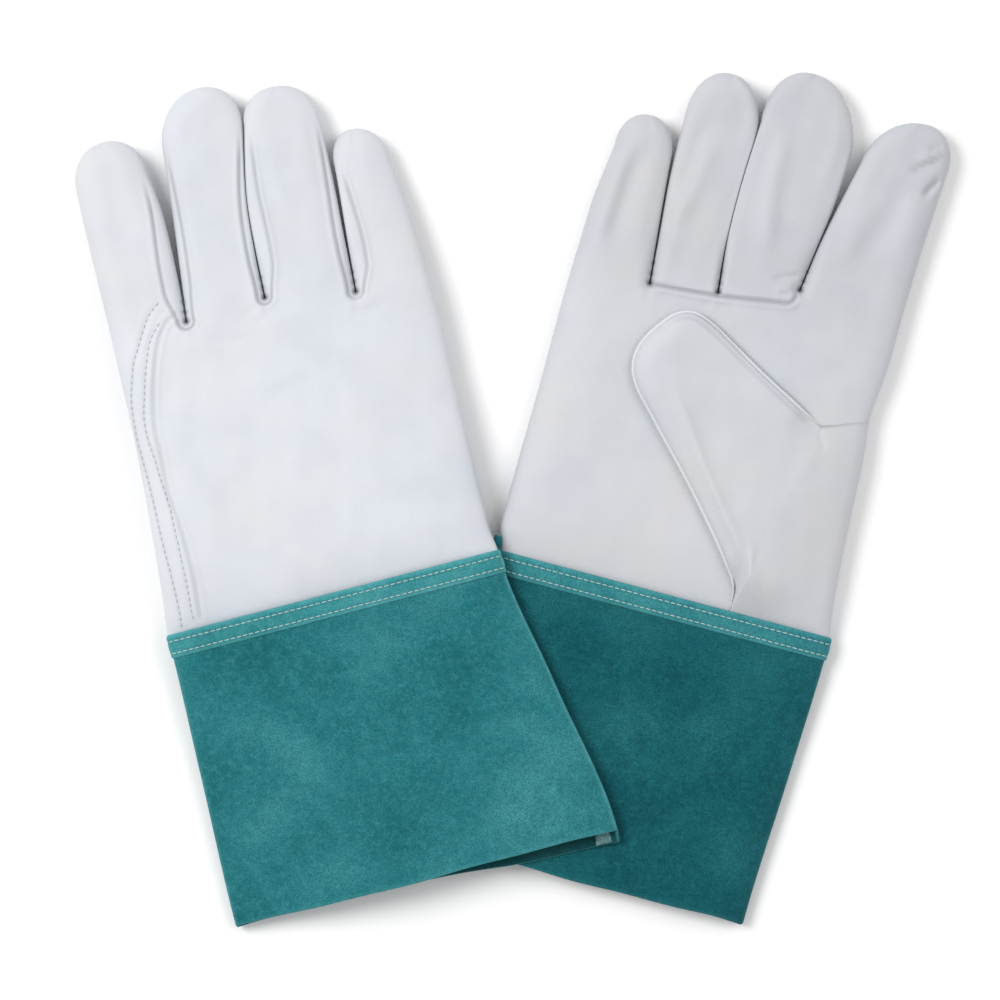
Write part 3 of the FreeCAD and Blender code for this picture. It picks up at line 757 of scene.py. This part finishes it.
# ---- the thumb and its gusset ----
def thumb_rise(glove, u, v, past_fold=0.0):
    """How far the thumb's outer leather stands over the palm, and how much darker it is painted."""
    lower, upper = glove.thumb_edges
    low, _ = distance(u, v, lower)
    high, where_high = distance(u, v, upper)
    near_tip = smooth_step((where_high - 0.62) / 0.34)
    low_width = 2.5 + 6.5 * smooth_step((v - 2.0) / 28.0)
    squareness = 2.05 + 0.35 * (1.0 - near_tip) * (low > high)
    full = dome(np.minimum(low / low_width, high / (6.0 + 3.0 * near_tip)), 1.0, squareness)
    full = full + (1.0 - full) * smooth_step(past_fold / 4.0)
    from_seam = distance(u, v, np.array([CROTCH, GUSSET_EDGE], float))[0]
    index_side = level_curve(glove.spec["index_side"], v)
    past_edge = smooth_step((u - index_side - 2.0) / 34.0)
    past_cuff = smooth_step((v + 3.0) / 22.0)
    past_seam = 0.32 * dome(from_seam, 3.0, 2.0) + 0.68 * smooth_step(from_seam / 16.0)
    body = THUMB_DEEP * past_edge * past_cuff * past_seam
    slack = 1.0 - 0.34 * smooth_step((low - 13.0) / 30.0)
    d, where = distance(u, v, path_through(THUMB_RIDGE, 40))
    relief = 1.35 * line(d, 4.2) + 0.65 * line(d, 1.7)
    relief = relief * smooth_step(where / 0.2) * smooth_step((1.0 - where) / 0.06)
    relief += 0.30 * waves(u, v, 34, 50, 21) + 0.10 * waves(u, v, 13, 20, 22)
    along_rim = smooth_step(where_high / 0.06) * (1.0 - 0.8 * near_tip)
    rim = line(high - 0.9, 0.8) * along_rim
    groove = line(high - 2.4, 0.8) * along_rim
    relief += 0.55 * rim - 0.60 * groove
    for points, height, width in CROTCH_FOLDS:
        d, where = distance(u, v, path_through(points, 16))
        relief += height * line(d, width) * ends_fade(where, 0.25)
    # Painted darker: dirt in the gusset's seam, and painted shade in the groove beside the rim.
    seam = np.maximum(0.14 * groove, 0.46 * line(from_seam - 0.2, 0.8))
    return (body * slack + relief * past_edge * past_cuff) * full, seam


def thumb_grids(glove, skin):
    """The gusset, from the index side to the fold, and the thumb beyond it, which lies over the palm."""
    facing = glove.up("palm")
    fractions = spread(ACROSS_FINGER)
    heel, crotch = np.array(HEEL), np.array(CROTCH)
    fold = heel[None, :] * (1 - fractions[:, None]) + crotch[None, :] * fractions[:, None]
    wrist_v = -3.0
    side_v = wrist_v + (GUSSET_EDGE[1] - wrist_v) * fractions
    side = np.column_stack([level_curve(glove.spec["index_side"], side_v), side_v])
    share = spread(48, 0.6)[:, None, None]
    u, v = between(side[None, :, :], fold[None, :, :], share)
    palm, _ = glove.surface("palm", u, v)
    past_fold = distance(u, v, np.array([HEEL, CROTCH], float))[0]
    rise, seam = thumb_rise(glove, u, v, past_fold)
    rise = rise + THUMB_CLEAR * smooth_step((u - side[None, :, 0]) / 5.0) * (0.3 + 0.7 * smooth_step(v / 5.0))
    rise[:, -1] = -0.4 + 0.7 * smooth_step((share[:, 0, 0] - 0.7) / 0.3)
    z = palm + facing * rise
    deep = np.clip(rise, 0.3, GRAIN)
    skin.add(glove.world(u, v, z), seam, u.shape, quad_names(u, "thumb_gusset"), facing > 0, deep)
    fold_z = z[-1]

    lower, upper = glove.thumb_edges
    u, v = between(lower[:, None, :], upper[:, None, :], fractions[None, :, None])
    palm, _ = glove.surface("palm", u, v)
    rise, seam = thumb_rise(glove, u, v)
    free_edge = np.minimum(distance(u, v, lower)[0], distance(u, v, upper)[0])
    from_fold = smooth_step(np.linspace(0, 1, u.shape[0]) / 0.10)[:, None]
    rim_height = THUMB_RIM * from_fold
    outer = THUMB_CLEAR + np.maximum(rise, 0.0) + rim_height * (1.0 - dome(free_edge, 6.5, 2.0))
    outer = fold_z[None, :] * (1 - from_fold) + (palm + facing * outer) * from_fold
    inner = (THUMB_CLEAR + rim_height * (1.0 - dome(free_edge, 4.0, 2.2)) * 0.98) * from_fold
    inner = palm + facing * np.minimum(inner, facing * (outer - palm) - 0.15)
    edge_z = palm + facing * (THUMB_CLEAR * from_fold + rim_height)
    for column in (0, -1):
        outer[1:, column] = edge_z[1:, column]
        inner[:, column] = edge_z[:, column]
    outer[-1], inner[-1] = edge_z[-1], edge_z[-1]
    none = np.zeros_like(u)
    deep = np.minimum(GRAIN, 0.15 + 0.42 * np.abs(outer - inner))
    sides = (("thumb_outer", outer, seam, facing > 0), ("thumb_inner", inner, none, facing < 0))
    for label, z, depth, flip in sides:
        skin.add(glove.world(u, v, z), depth, u.shape, quad_names(u, label), flip, deep)
    ring = [np.column_stack([edge, edge_z[:, column]]) for edge, column in ((lower, 0), (upper, -1))]
    return np.vstack([ring[0], ring[1][::-1][1:]])


# ---- the cuff ----
def cuff_surface(glove, facing, u, v, inset):
    """Height of the cuff's leather, for an outer face at inset 0 and an inner one at inset SPLIT."""
    left, right = glove.cuff_sides(v, inset)
    near = np.clip(np.minimum(u - left, right - u), 0.0, None)
    full = dome(near, CUFF_PUFF, 2.1)
    swell = 0.30 * waves(u, v, 44, 60, 31 + len(glove.name)) + 0.12 * waves(u, v, 16, 22, 32)
    for path, height, spread_out in CUFF_FOLDS[glove.name]:
        d, where = distance(u, v, path_through(path, 16))
        swell = swell + height * line(d, spread_out) * ends_fade(where, 0.3)
    swell = swell * smooth_step(near / 12.0) * smooth_step((-v - 10.0) / 20.0)
    return glove.middle(u, v) + facing * (CUFF_HALF - inset) * full + swell


def cuff_ring(glove, v, inset):
    """One closed ring of points round the cuff. v is a number, or a rule for how v changes round the ring."""
    across = spread(CUFF_ACROSS, 0.9)
    rings = []
    for facing, shares in ((1.0, across), (-1.0, across[::-1][1:-1])):
        row_v = np.broadcast_to(v(shares, facing) if callable(v) else v, shares.shape).astype(float)
        left, right = glove.cuff_sides(row_v, inset)
        u = left + (right - left) * shares
        rings.append(glove.world(u, row_v, cuff_surface(glove, facing, u, row_v, inset)))
    return np.vstack(rings)


def fold_wear_and_highlight(scale=1.0):
    """Wear and painted highlight round a ring of the cuff: most at the seam, and a little at the fold."""
    across = spread(CUFF_ACROSS, 0.9)
    shares = np.concatenate([across, across[::-1][1:-1]])
    fold, seam = shares * CUFF_WIDTH, (1.0 - shares) * CUFF_WIDTH
    return scale * np.maximum(0.35 * line(fold, 0.9), 0.9 * line(seam, 1.0))


def ring_quads(rings, count, first=0, closed=False):
    """Quads between rings of count points each. The last ring joins the first where they are closed."""
    polygons = []
    for i in range(rings if closed else rings - 1):
        here, ahead = first + i * count, first + (i + 1) % rings * count
        for k in range(count):
            n = (k + 1) % count
            polygons.append((here + k, here + n, ahead + n, ahead + k))
    return polygons


def end_caps(first, total, count):
    """The first and the last ring of a tube of total points, as faces."""
    last = first + total - count
    return [tuple(range(first, first + count))[::-1], tuple(range(last, last + count))]


def ring_mesh(name, rings, material, seams, wear_and_highlights):
    """A closed skin through rings of points that each have the same count. The last ring joins the first."""
    count = len(rings[0])
    polygons = ring_quads(len(rings), count, closed=True)
    seam, wear = np.repeat(seams, count), np.concatenate(wear_and_highlights)
    return mesh_object(name, np.vstack(rings), polygons, material, seam, wear)


def hem_line(glove):
    """Where the hem lies along the cuff's width, a little uneven. One layer is longer at an open corner."""

    def line_at(depth):
        def v(shares, facing):
            uneven = 0.35 * np.sin(shares * 9.0 + facing) + 0.2 * np.sin(shares * 23.0)
            longer = 5.6 * smooth_step((shares - 0.40) / 0.56) if facing < 0 and glove.back_up else 0.0
            return depth * (HEM + 0.8 + uneven - longer)

        return v

    return line_at


def make_cuff(glove, material):
    at = hem_line(glove)
    shares = np.linspace(0.002, 1.0, CUFF_ROWS)
    outer = [cuff_ring(glove, at(s), 0.0) for s in shares]
    rim = [cuff_ring(glove, at(1.0035), 0.3), cuff_ring(glove, at(1.0035), SPLIT - 0.3)]
    inner = [cuff_ring(glove, at(s), SPLIT) for s in shares[::-1]]
    # Painted shade: the cuff's inner face is painted dark, and the inner ring of its cut edge a little
    # darker.
    seams = [0.0] * len(shares) + [0.0, 0.3] + [0.75] * len(shares)
    # Wear and painted highlight: the folds, the seam and the hem are lightened.
    hem = [0.25 * line((1.0 - s) * HEM, 1.0) for s in shares]
    wear_and_highlights = [np.maximum(fold_wear_and_highlight(), share) for share in hem]
    wear_and_highlights += [fold_wear_and_highlight(0.0) + 0.35] * 2 + [fold_wear_and_highlight(0.0)] * len(shares)
    piece = ring_mesh(f"{glove.name}_cuff_leather", outer + rim + inner, material, seams, wear_and_highlights)
    bend_at_wrist(piece, glove)
    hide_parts(f"{glove.name}_cuff")


def make_band(glove, material):
    """The turned band that laps over the top of the cuff."""
    outside = -BAND_PROUD
    profile = [(0.7, 1.0), (0.75, 0.1), (0.2, outside + 0.1), (-1.2, outside - 0.15), (-2.3, outside + 0.12)]
    profile += [(-3.6, outside - 0.15), (-5.0, outside - 0.2), (-6.4, outside - 0.15), (-7.5, outside + 0.12)]
    profile += [(-8.6, outside - 0.05), (-9.4, outside + 0.25), (-BAND, 0.0), (-BAND + 0.3, 0.35)]
    profile += [(-5.0, 0.4)]
    rings = [cuff_ring(glove, v, inset) for v, inset in profile]
    # Wear and painted highlight along the band's rolled edges.
    band_wear_and_highlight = [0.3, 0.7, 0.6, 0.2, 0.0, 0.1, 0.1, 0.1, 0.0, 0.3, 0.6, 0.6, 0.0, 0.0]
    # Painted shade where the band's lower edge meets the cuff, on its hidden underside and a little at its
    # top edge; the stitch rows a little darker.
    seams = [0.3, 0.0, 0.0, 0.0, 0.12, 0.0, 0.0, 0.0, 0.12, 0.0, 0.0, 0.5, 0.6, 0.6]
    wear_and_highlights = [np.maximum(fold_wear_and_highlight(), 0.5 * share) for share in band_wear_and_highlight]
    piece = ring_mesh(f"{glove.name}_cuff_band_leather", rings, material, seams, wear_and_highlights)
    subdivide(piece)
    bend_at_wrist(piece, glove)
    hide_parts(f"{glove.name}_cuff_band")


def lofted_strip(sections):
    """A closed strip through sections that each have the same count of points."""
    points = np.vstack(sections)
    count = len(sections[0])
    return points, end_caps(0, len(points), count) + ring_quads(len(sections), count)


def make_allowance(glove, material):
    """The turned-in edges of the cuff's side seam, inside the cuff, and the end of them that stands out."""
    last = HEM - 4.4 if glove.back_up else HEM + 0.5
    sections = []
    for v in np.linspace(-1.0, last, 70):
        edge = glove.cuff_sides(v, SPLIT)[1]
        wave = 0.5 * math.sin(v / 7.0) + 0.3 * math.sin(v / 2.3)
        flat = 0.55 if v < HEM + 3.0 else 1.0
        section = [(0.2, 0.1), (-3.0, 1.15), (-8.6 + wave, 1.3)]
        section += [(-9.0 + wave, 0.0), (-8.6 + wave, -1.3), (-3.0, -1.15)]
        u, z = np.array(section).T
        drop = -2.0 * smooth_step((HEM + 14.0 - v) / 14.0) if glove.back_up else 0.0
        sections.append(glove.world(edge + u, v, glove.middle(edge - 5.0, np.array([v])) + drop + z * flat))
    parts = [lofted_strip(sections)]
    if not glove.back_up:
        tab = []
        for v in np.linspace(-7.0, 6.4, 12):
            lean = 0.10 * v
            half = TAB_HALF - 0.25 * smooth_step((v - 5.0) / 1.4)
            inner = half - 0.3
            section = [(-half, 0.0), (-inner, 0.6), (inner, 0.7), (half, 0.0), (inner, -0.6), (-inner, -0.6)]
            u, z = np.array(section).T
            tab.append(glove.world(TAB_PLACE + lean + u, v, TAB_HEIGHT + 0.35 * v + z))
        parts.append(lofted_strip(tab))
    verts, polygons = join_rows(parts)
    piece = mesh_object(f"{glove.name}_cuff_side_seam_leather", verts, polygons, material)
    bend_at_wrist(piece, glove)
    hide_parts(f"{glove.name}_cuff_side_seam")


def bend_at_wrist(piece, glove):
    start, end = (Vector(glove.world(0.0, v, 5.0)[0]) for v in (BEND_FROM, BEND_TO))
    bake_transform(piece)


def subdivide(piece):
    """Applies one smooth subdivision."""
    modifier = piece.modifiers.new("smooth", "SUBSURF")
    modifier.levels = 1
    depsgraph = bpy.context.evaluated_depsgraph_get()
    mesh = bpy.data.meshes.new_from_object(piece.evaluated_get(depsgraph), depsgraph=depsgraph)
    piece.modifiers.clear()
    piece.data = mesh


# ---- thread ----
def stitch_row(points, up, length, radius):
    """Short rounded stitches along a line of points in the frame, in metres."""
    along = lengths_along(points)
    pitch = STITCH_PITCH * MM
    count = max(1, int(along[-1] / pitch))
    verts, polygons = [], []
    turns = [2 * math.pi * k / STITCH_SIDES for k in range(STITCH_SIDES)]
    places = (np.arange(count) + 0.5) * along[-1] / count
    here_all, facing_all = sample(places, along, points), sample(places, along, up)
    ahead_all = sample(places + pitch * 0.3, along, points)
    for here, ahead, facing in zip(here_all, ahead_all, facing_all):
        way = unit(ahead - here)
        side = unit(np.cross(way, facing))
        lift = np.cross(side, way)
        first = len(verts)
        for share, fat in STITCH_SHAPE:
            centre = here + way * length * share + lift * radius * (0.25 - 1.5 * share * share)
            for turn in turns:
                verts.append(centre + radius * fat * (side * math.cos(turn) + lift * math.sin(turn)))
        polygons += ring_quads(len(STITCH_SHAPE), STITCH_SIDES, first)
        polygons += end_caps(first, len(verts) - first, STITCH_SIDES)
    return np.array(verts), polygons


def join_rows(rows):
    verts, polygons, total = [], [], 0
    for points, faces in rows:
        verts.append(points)
        polygons += [tuple(p + total for p in face) for face in faces]
        total += len(points)
    return np.vstack(verts), polygons


def back_seam_stitches(glove, material):
    rows = []
    facing = glove.up("back")
    for stitches in (OUTER_STITCHES, INNER_STITCHES):
        path = path_through(stitches, 120)
        z, _ = glove.surface("back", path[:, 0], path[:, 1])
        points = glove.world(path[:, 0], path[:, 1], z + facing * 0.05)
        rows.append(stitch_row(points, surface_normals(glove, path), *(MM * size for size in BACK_STITCH)))
    verts, polygons = join_rows(rows)
    piece = mesh_object(f"{glove.name}_back_seam_thread", verts, polygons, material)
    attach(piece, f"{glove.name}_hand")
    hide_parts(f"{glove.name}_back_seam_stitching")


def surface_normals(glove, path):
    """Outward normals of the back along a path, from its slopes."""
    step = 0.5
    u, v = path[:, 0], path[:, 1]
    slope_u, slope_v = (
        (glove.surface("back", u + du, v + dv)[0] - glove.surface("back", u - du, v - dv)[0]) / (2 * step)
        for du, dv in ((step, 0.0), (0.0, step))
    )
    flat = -np.outer(slope_u, glove.u_axis) - np.outer(slope_v, glove.v_axis)
    normals = np.column_stack([flat, np.ones(len(path))]) * glove.up("back")
    return normals / np.linalg.norm(normals, axis=1)[:, None]


def band_stitches(glove, material):
    rows = []
    across = 0.004 + 0.992 * spread(90)
    for v in BAND_ROWS:
        for facing in (1.0, -1.0):
            left, right = glove.cuff_sides(v, -BAND_PROUD)
            u = left + (right - left) * across
            z = cuff_surface(glove, facing, u, np.full_like(u, v), -BAND_PROUD - 0.1)
            points = glove.world(u, v, z)
            slope = np.gradient(z, u)
            normals = np.column_stack([-np.outer(slope, glove.u_axis), np.ones(len(u))]) * facing
            rows.append(stitch_row(points, normals, *(MM * size for size in BAND_STITCH)))
    verts, polygons = join_rows(rows)
    piece = mesh_object(f"{glove.name}_band_thread", verts, polygons, material)
    bend_at_wrist(piece, glove)
    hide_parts(f"{glove.name}_band_stitching")


def welt(glove, rim, material):
    """The raised seam round the thumb's free edge, in a lighter leather that paints a highlight along it."""
    points = glove.world(rim[:, 0], rim[:, 1], rim[:, 2])
    verts = []
    last = len(points) - 1
    for i, here in enumerate(points):
        radius = (WELT_THIN + WELT_SWELL * smooth_step(min(i, last - i) / 10.0)) * MM
        way = unit(points[min(i + 1, last)] - points[max(i - 1, 0)])
        side = unit(np.cross(way, [0, 0, 1.0]))
        lift = np.cross(side, way)
        for k in range(WELT_SIDES):
            angle = 2 * math.pi * k / WELT_SIDES
            verts.append(here + radius * (WELT_FLAT * side * math.cos(angle) + lift * math.sin(angle)))
    polygons = ring_quads(len(points), WELT_SIDES) + end_caps(0, len(verts), WELT_SIDES)
    piece = mesh_object(f"{glove.name}_thumb_welt_leather", np.array(verts), polygons, material)
    bend_thumb(piece, glove)
    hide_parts(f"{glove.name}_thumb_welt")


def bend_ends(glove, hinge, out, length, joint):
    """Where the leather's bend would start and end, from the middle of a hinge outward."""
    z = JOINTS[f"{glove.name}_{joint}"]["pos_m"][2] / MM
    return (Vector(glove.world(*(hinge + out * run), z)[0]) for run in (0.0, length))


def bend_thumb(piece, glove):
    """Works out where the thumb's bend from the fold between its heel and its crotch would start and end, and
    bakes the piece's place into its mesh; nothing bends.
    """
    heel, crotch = np.array(HEEL), np.array(CROTCH)
    along = unit(crotch - heel)
    out = np.array([along[1], -along[0]])
    start, end = bend_ends(glove, (heel + crotch) / 2.0, out, THUMB_BEND, "thumb_swing")
    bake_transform(piece)


def bend_finger(piece, glove, name):
    """Works out where a finger's bend from the line between the crotches beside it would start and end, and
    bakes the piece's place into its mesh; nothing bends.
    """
    k = FINGERS.index(name)
    a, b = (np.array(p, float) for p in glove.spec["roots"][k : k + 2])
    along = unit(b - a)
    out = np.array([-along[1], along[0]])
    start, end = bend_ends(glove, (a + b) / 2.0, out, FINGER_BEND, f"{name}_curl")
    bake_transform(piece)


# ---- materials ----
class Nodes:
    """Short calls for building a material's node tree."""

    def __init__(self, name):
        self.material = bpy.data.materials.new(name)
        self.material.use_nodes = True
        self.tree = self.material.node_tree
        self.shader = self.tree.nodes["Principled BSDF"]
        self.place = self.attribute("rest", "Vector")
        self.seam = self.attribute("seam", "Fac")
        self.wear = self.attribute("wear", "Fac")

    def attribute(self, name, output):
        node = self.tree.nodes.new("ShaderNodeAttribute")
        node.attribute_name = name
        return node.outputs[output]

    def link(self, output, socket):
        self.tree.links.new(output, socket)

    def texture(self, kind, output, **values):
        node = self.tree.nodes.new(kind)
        for key, value in values.items():
            node.inputs[key].default_value = value
        self.link(self.place, node.inputs["Vector"])
        return node.outputs[output]

    def noise(self, scale, detail=3.0, roughness=0.5, distortion=0.0):
        sizes = {"Scale": scale, "Detail": detail, "Roughness": roughness, "Distortion": distortion}
        return self.texture("ShaderNodeTexNoise", "Fac", **sizes)

    def cells(self, scale):
        return self.texture("ShaderNodeTexVoronoi", "Distance", Scale=scale)

    def shade(self, name, value):
        """Gives the material's shader one of its values."""
        self.put(value, self.shader.inputs[name])

    def ramp(self, value, stops):
        node = self.tree.nodes.new("ShaderNodeValToRGB")
        first, last = node.color_ramp.elements
        for element, (at, colour) in zip((first, last), (stops[0], stops[-1])):
            element.position = at
            element.color = (*colour, 1.0)
        for at, colour in stops[1:-1]:
            node.color_ramp.elements.new(at).color = (*colour, 1.0)
        self.link(value, node.inputs["Fac"])
        return node.outputs["Color"]

    def mix(self, share, a, b, blend="MIX"):
        node = self.tree.nodes.new("ShaderNodeMix")
        node.data_type = "RGBA"
        node.blend_type = blend
        for value, socket in ((share, node.inputs[0]), (a, node.inputs[6]), (b, node.inputs[7])):
            self.put(value if isinstance(value, (float, bpy.types.NodeSocket)) else (*value, 1.0), socket)
        return node.outputs[2]

    def put(self, value, socket):
        """A socket's value: another node's output, or a plain one."""
        if isinstance(value, bpy.types.NodeSocket):
            self.link(value, socket)
        else:
            socket.default_value = value

    def math(self, operation, a, b):
        node = self.tree.nodes.new("ShaderNodeMath")
        node.operation = operation
        self.put(a, node.inputs[0])
        self.put(b, node.inputs[1])
        return node.outputs[0]

    def range(self, value, low, high):
        node = self.tree.nodes.new("ShaderNodeMapRange")
        node.inputs["To Min"].default_value = low
        node.inputs["To Max"].default_value = high
        self.link(value, node.inputs["Value"])
        return node.outputs["Result"]

    def bump(self, height, strength, deep, before=None):
        node = self.tree.nodes.new("ShaderNodeBump")
        node.inputs["Strength"].default_value = strength
        node.inputs["Distance"].default_value = deep
        self.link(height, node.inputs["Height"])
        if before is not None:
            self.link(before, node.inputs["Normal"])
        return node.outputs["Normal"]


def dimmed(colour, share):
    return tuple(c * share for c in colour)


def grain_leather(name, colour, warm):
    """Pale, soft goatskin: a fine pebbled grain, faint warm and cool stains, and dirt and painted shade in
    seams.
    """
    nodes = Nodes(name)
    stained = nodes.ramp(nodes.noise(38.0, 4.0), [(0.36, dimmed(colour, 0.93)), (0.58, colour)])
    tinted = nodes.mix(nodes.range(nodes.noise(24.0, 3.0, 0.6), -0.9, 1.5), stained, warm)
    speckled = nodes.mix(nodes.range(nodes.noise(1500.0, 2.0), 0.0, 0.34), tinted, dimmed(colour, 0.86))
    # The seam attribute paints it darker: dirt in the seams, painted shade in grooves, gaps and crotches, and
    # darker fingers.
    with_dirt_and_shade = nodes.mix(nodes.seam, speckled, dimmed(colour, 0.12))
    nodes.shade("Base Color", with_dirt_and_shade)
    nodes.shade("Roughness", nodes.range(nodes.noise(160.0, 3.0), 0.50, 0.66))
    coarse = nodes.bump(nodes.noise(330.0, 4.0), 0.30, 0.0003)
    normal = nodes.bump(nodes.cells(1150.0), 0.24, 0.00014, coarse)
    normal = nodes.bump(nodes.noise(2600.0, 2.0), 0.16, 0.00008, normal)
    nodes.shade("Normal", normal)
    nodes.shade("Specular IOR Level", 0.32)
    nodes.shade("Sheen Weight", 0.05)
    return nodes.material


def split_leather(name, colour, light, dark):
    """Suede: a nap in lighter and darker clouds, brushed this way and that, with wear and a painted highlight
    along its folds.
    """
    nodes = Nodes(name)
    clouds = nodes.ramp(nodes.noise(26.0, 3.0, 0.55, 0.2), [(0.28, dark), (0.50, colour), (0.74, light)])
    patches = nodes.mix(nodes.range(nodes.noise(105.0, 5.0, 0.68, 0.3), -0.55, 0.95), clouds, dark)
    strokes = nodes.mix(nodes.range(nodes.noise(300.0, 4.0, 0.7, 0.4), -0.75, 0.95), patches, light)
    fibres = nodes.mix(nodes.range(nodes.noise(1300.0, 4.0, 0.8), -1.1, 1.7), strokes, dimmed(dark, 0.55))
    # Wear and painted highlight: the folds, seam, hem and band edges are lightened.
    uneven = nodes.math("MULTIPLY", nodes.wear, nodes.range(nodes.noise(240.0, 3.0, 0.6), 0.1, 1.0))
    lightened = nodes.mix(uneven, fibres, tuple(min(1.0, c * 1.6 + 0.02) for c in light))
    # Painted shade: the seam attribute darkens the cuff's inner face and the band's turned-in edges, and a
    # little its stitch rows.
    inside = nodes.mix(nodes.seam, lightened, dimmed(dark, 0.22))
    nodes.shade("Base Color", inside)
    nodes.shade("Roughness", 0.96)
    nodes.shade("Specular IOR Level", 0.10)
    nodes.shade("Sheen Weight", 0.12)
    nodes.shade("Sheen Roughness", 0.5)
    coarse = nodes.bump(nodes.noise(420.0, 5.0, 0.7), 0.45, 0.0006)
    normal = nodes.bump(nodes.noise(2100.0, 3.0, 0.8), 0.55, 0.0003, coarse)
    nodes.shade("Normal", normal)
    return nodes.material


def sewing_thread(name, colour):
    nodes = Nodes(name)
    worn = nodes.mix(nodes.range(nodes.noise(900.0, 3.0), 0.0, 0.7), colour, dimmed(colour, 0.6))
    nodes.shade("Base Color", worn)
    nodes.shade("Roughness", 0.85)
    normal = nodes.bump(nodes.noise(3200.0, 2.0), 0.5, 0.0002)
    nodes.shade("Normal", normal)
    return nodes.material


# ---- build ----
def build_glove(spec, leather, lightened, suede, band, thread, seam_thread, allowance):
    glove = Glove(spec)
    skin = Skin(mirrored=not glove.back_up)
    for sheet in ("back", "palm"):
        hand_grid(glove, skin, sheet)
        for name in FINGERS:
            finger_grid(glove, skin, sheet, name)
    rim = thumb_grids(glove, skin)
    skin.weld()
    for label in sorted(set(skin.label)):
        piece = skin.piece(label, f"{glove.name}_{label}_leather", leather)
        owner = label.split("_")[0]
        if owner in FINGERS:
            bend_finger(piece, glove, owner)
        elif label in ("thumb_outer", "thumb_inner"):
            bend_thumb(piece, glove)
        else:
            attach(piece, f"{glove.name}_hand")
        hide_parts(f"{glove.name}_{label}")
    welt(glove, rim, lightened)
    back_seam_stitches(glove, seam_thread)
    make_cuff(glove, suede)
    make_band(glove, band)
    make_allowance(glove, allowance)
    band_stitches(glove, thread)


def linear(red, green, blue):
    """A colour given as it looks on a screen, 0 to 255, as the shader takes it."""
    return tuple((c / 255.0) ** 2.2 for c in (red, green, blue))


# The under glove's grain leather, suede and band are darker copies of the over glove's: painted shade.
pale = grain_leather("pale_grain_leather", linear(213, 217, 225), linear(218, 218, 220))
shaded = grain_leather("shaded_grain_leather", linear(201, 204, 211), linear(205, 204, 205))
# A lighter leather for the thumb's welt: a painted highlight along the rim.
highlit_welt_grain = grain_leather("rubbed_grain_leather", linear(213, 216, 221), linear(214, 214, 215))
teal = split_leather("teal_suede", linear(48, 129, 136), linear(76, 156, 161), linear(29, 102, 109))
shaded_teal = split_leather("dark_teal_suede", linear(27, 98, 105), linear(46, 122, 127), linear(14, 75, 84))
teal_band = split_leather("teal_band_suede", linear(66, 150, 155), linear(96, 174, 177), linear(44, 126, 131))
shaded_band = split_leather("dark_band_suede", linear(52, 132, 139), linear(78, 158, 162), linear(33, 108, 115))
white_thread = sewing_thread("white_thread", linear(178, 206, 206))
grey_thread = sewing_thread("grey_thread", linear(186, 190, 196))
raw_edge = split_leather("raw_edge_suede", linear(120, 160, 160), linear(170, 190, 188), linear(74, 120, 122))

build_glove(OVER, pale, highlit_welt_grain, teal, teal_band, white_thread, grey_thread, raw_edge)
build_glove(UNDER, shaded, highlit_welt_grain, shaded_teal, shaded_band, white_thread, grey_thread, teal)


# ---- floor, light and camera ----
def make_floor():
    mesh = bpy.data.meshes.new("floor")
    size = 4.0
    corners = [(-size, -size, 0), (size, -size, 0), (size, size, 0), (-size, size, 0)]
    mesh.from_pydata(corners, [], [(0, 1, 2, 3)])
    floor = add_object("floor", mesh)
    floor.location.z = -0.0002
    material = bpy.data.materials.new("pale_floor")
    material.use_nodes = True
    shader = material.node_tree.nodes["Principled BSDF"]
    shader.inputs["Base Color"].default_value = (0.97, 0.97, 0.97, 1.0)
    shader.inputs["Roughness"].default_value = 0.9
    mesh.materials.append(material)


def area_light(name, place, target, size, power):
    light = bpy.data.lights.new(name, "AREA")
    light.shape = "DISK"
    light.size = size
    light.energy = power
    lamp = add_object(name, light)
    lamp.location = place
    lamp.rotation_mode = "QUATERNION"
    lamp.rotation_quaternion = (Vector(target) - Vector(place)).to_track_quat("-Z", "Y")


def make_light():
    world = bpy.data.worlds.new("studio")
    bpy.context.scene.world = world
    world.use_nodes = True
    background = world.node_tree.nodes["Background"]
    background.inputs["Color"].default_value = (1.0, 1.0, 1.0, 1.0)
    background.inputs["Strength"].default_value = 0.55
    area_light("softbox_left", (-1.6, 0.75, 2.2), (0, 0, 0), 1.5, 47.0)
    area_light("softbox_right", (1.3, 0.6, 1.9), (0, 0, 0), 1.6, 12.0)


def make_camera():
    """Looks straight down from far off."""
    view_centre = (-0.0051, 0.0001, 0.012)
    view_width = 0.427
    away = 2.6
    camera = bpy.data.cameras.new("camera")
    camera.sensor_width = 36.0
    camera.lens = camera.sensor_width * away / view_width
    eye = add_object("camera", camera)
    eye.location = (view_centre[0], view_centre[1], view_centre[2] + away)
    bpy.context.scene.camera = eye


make_floor()
make_light()
make_camera()
bpy.context.scene.view_settings.view_transform = "Standard"
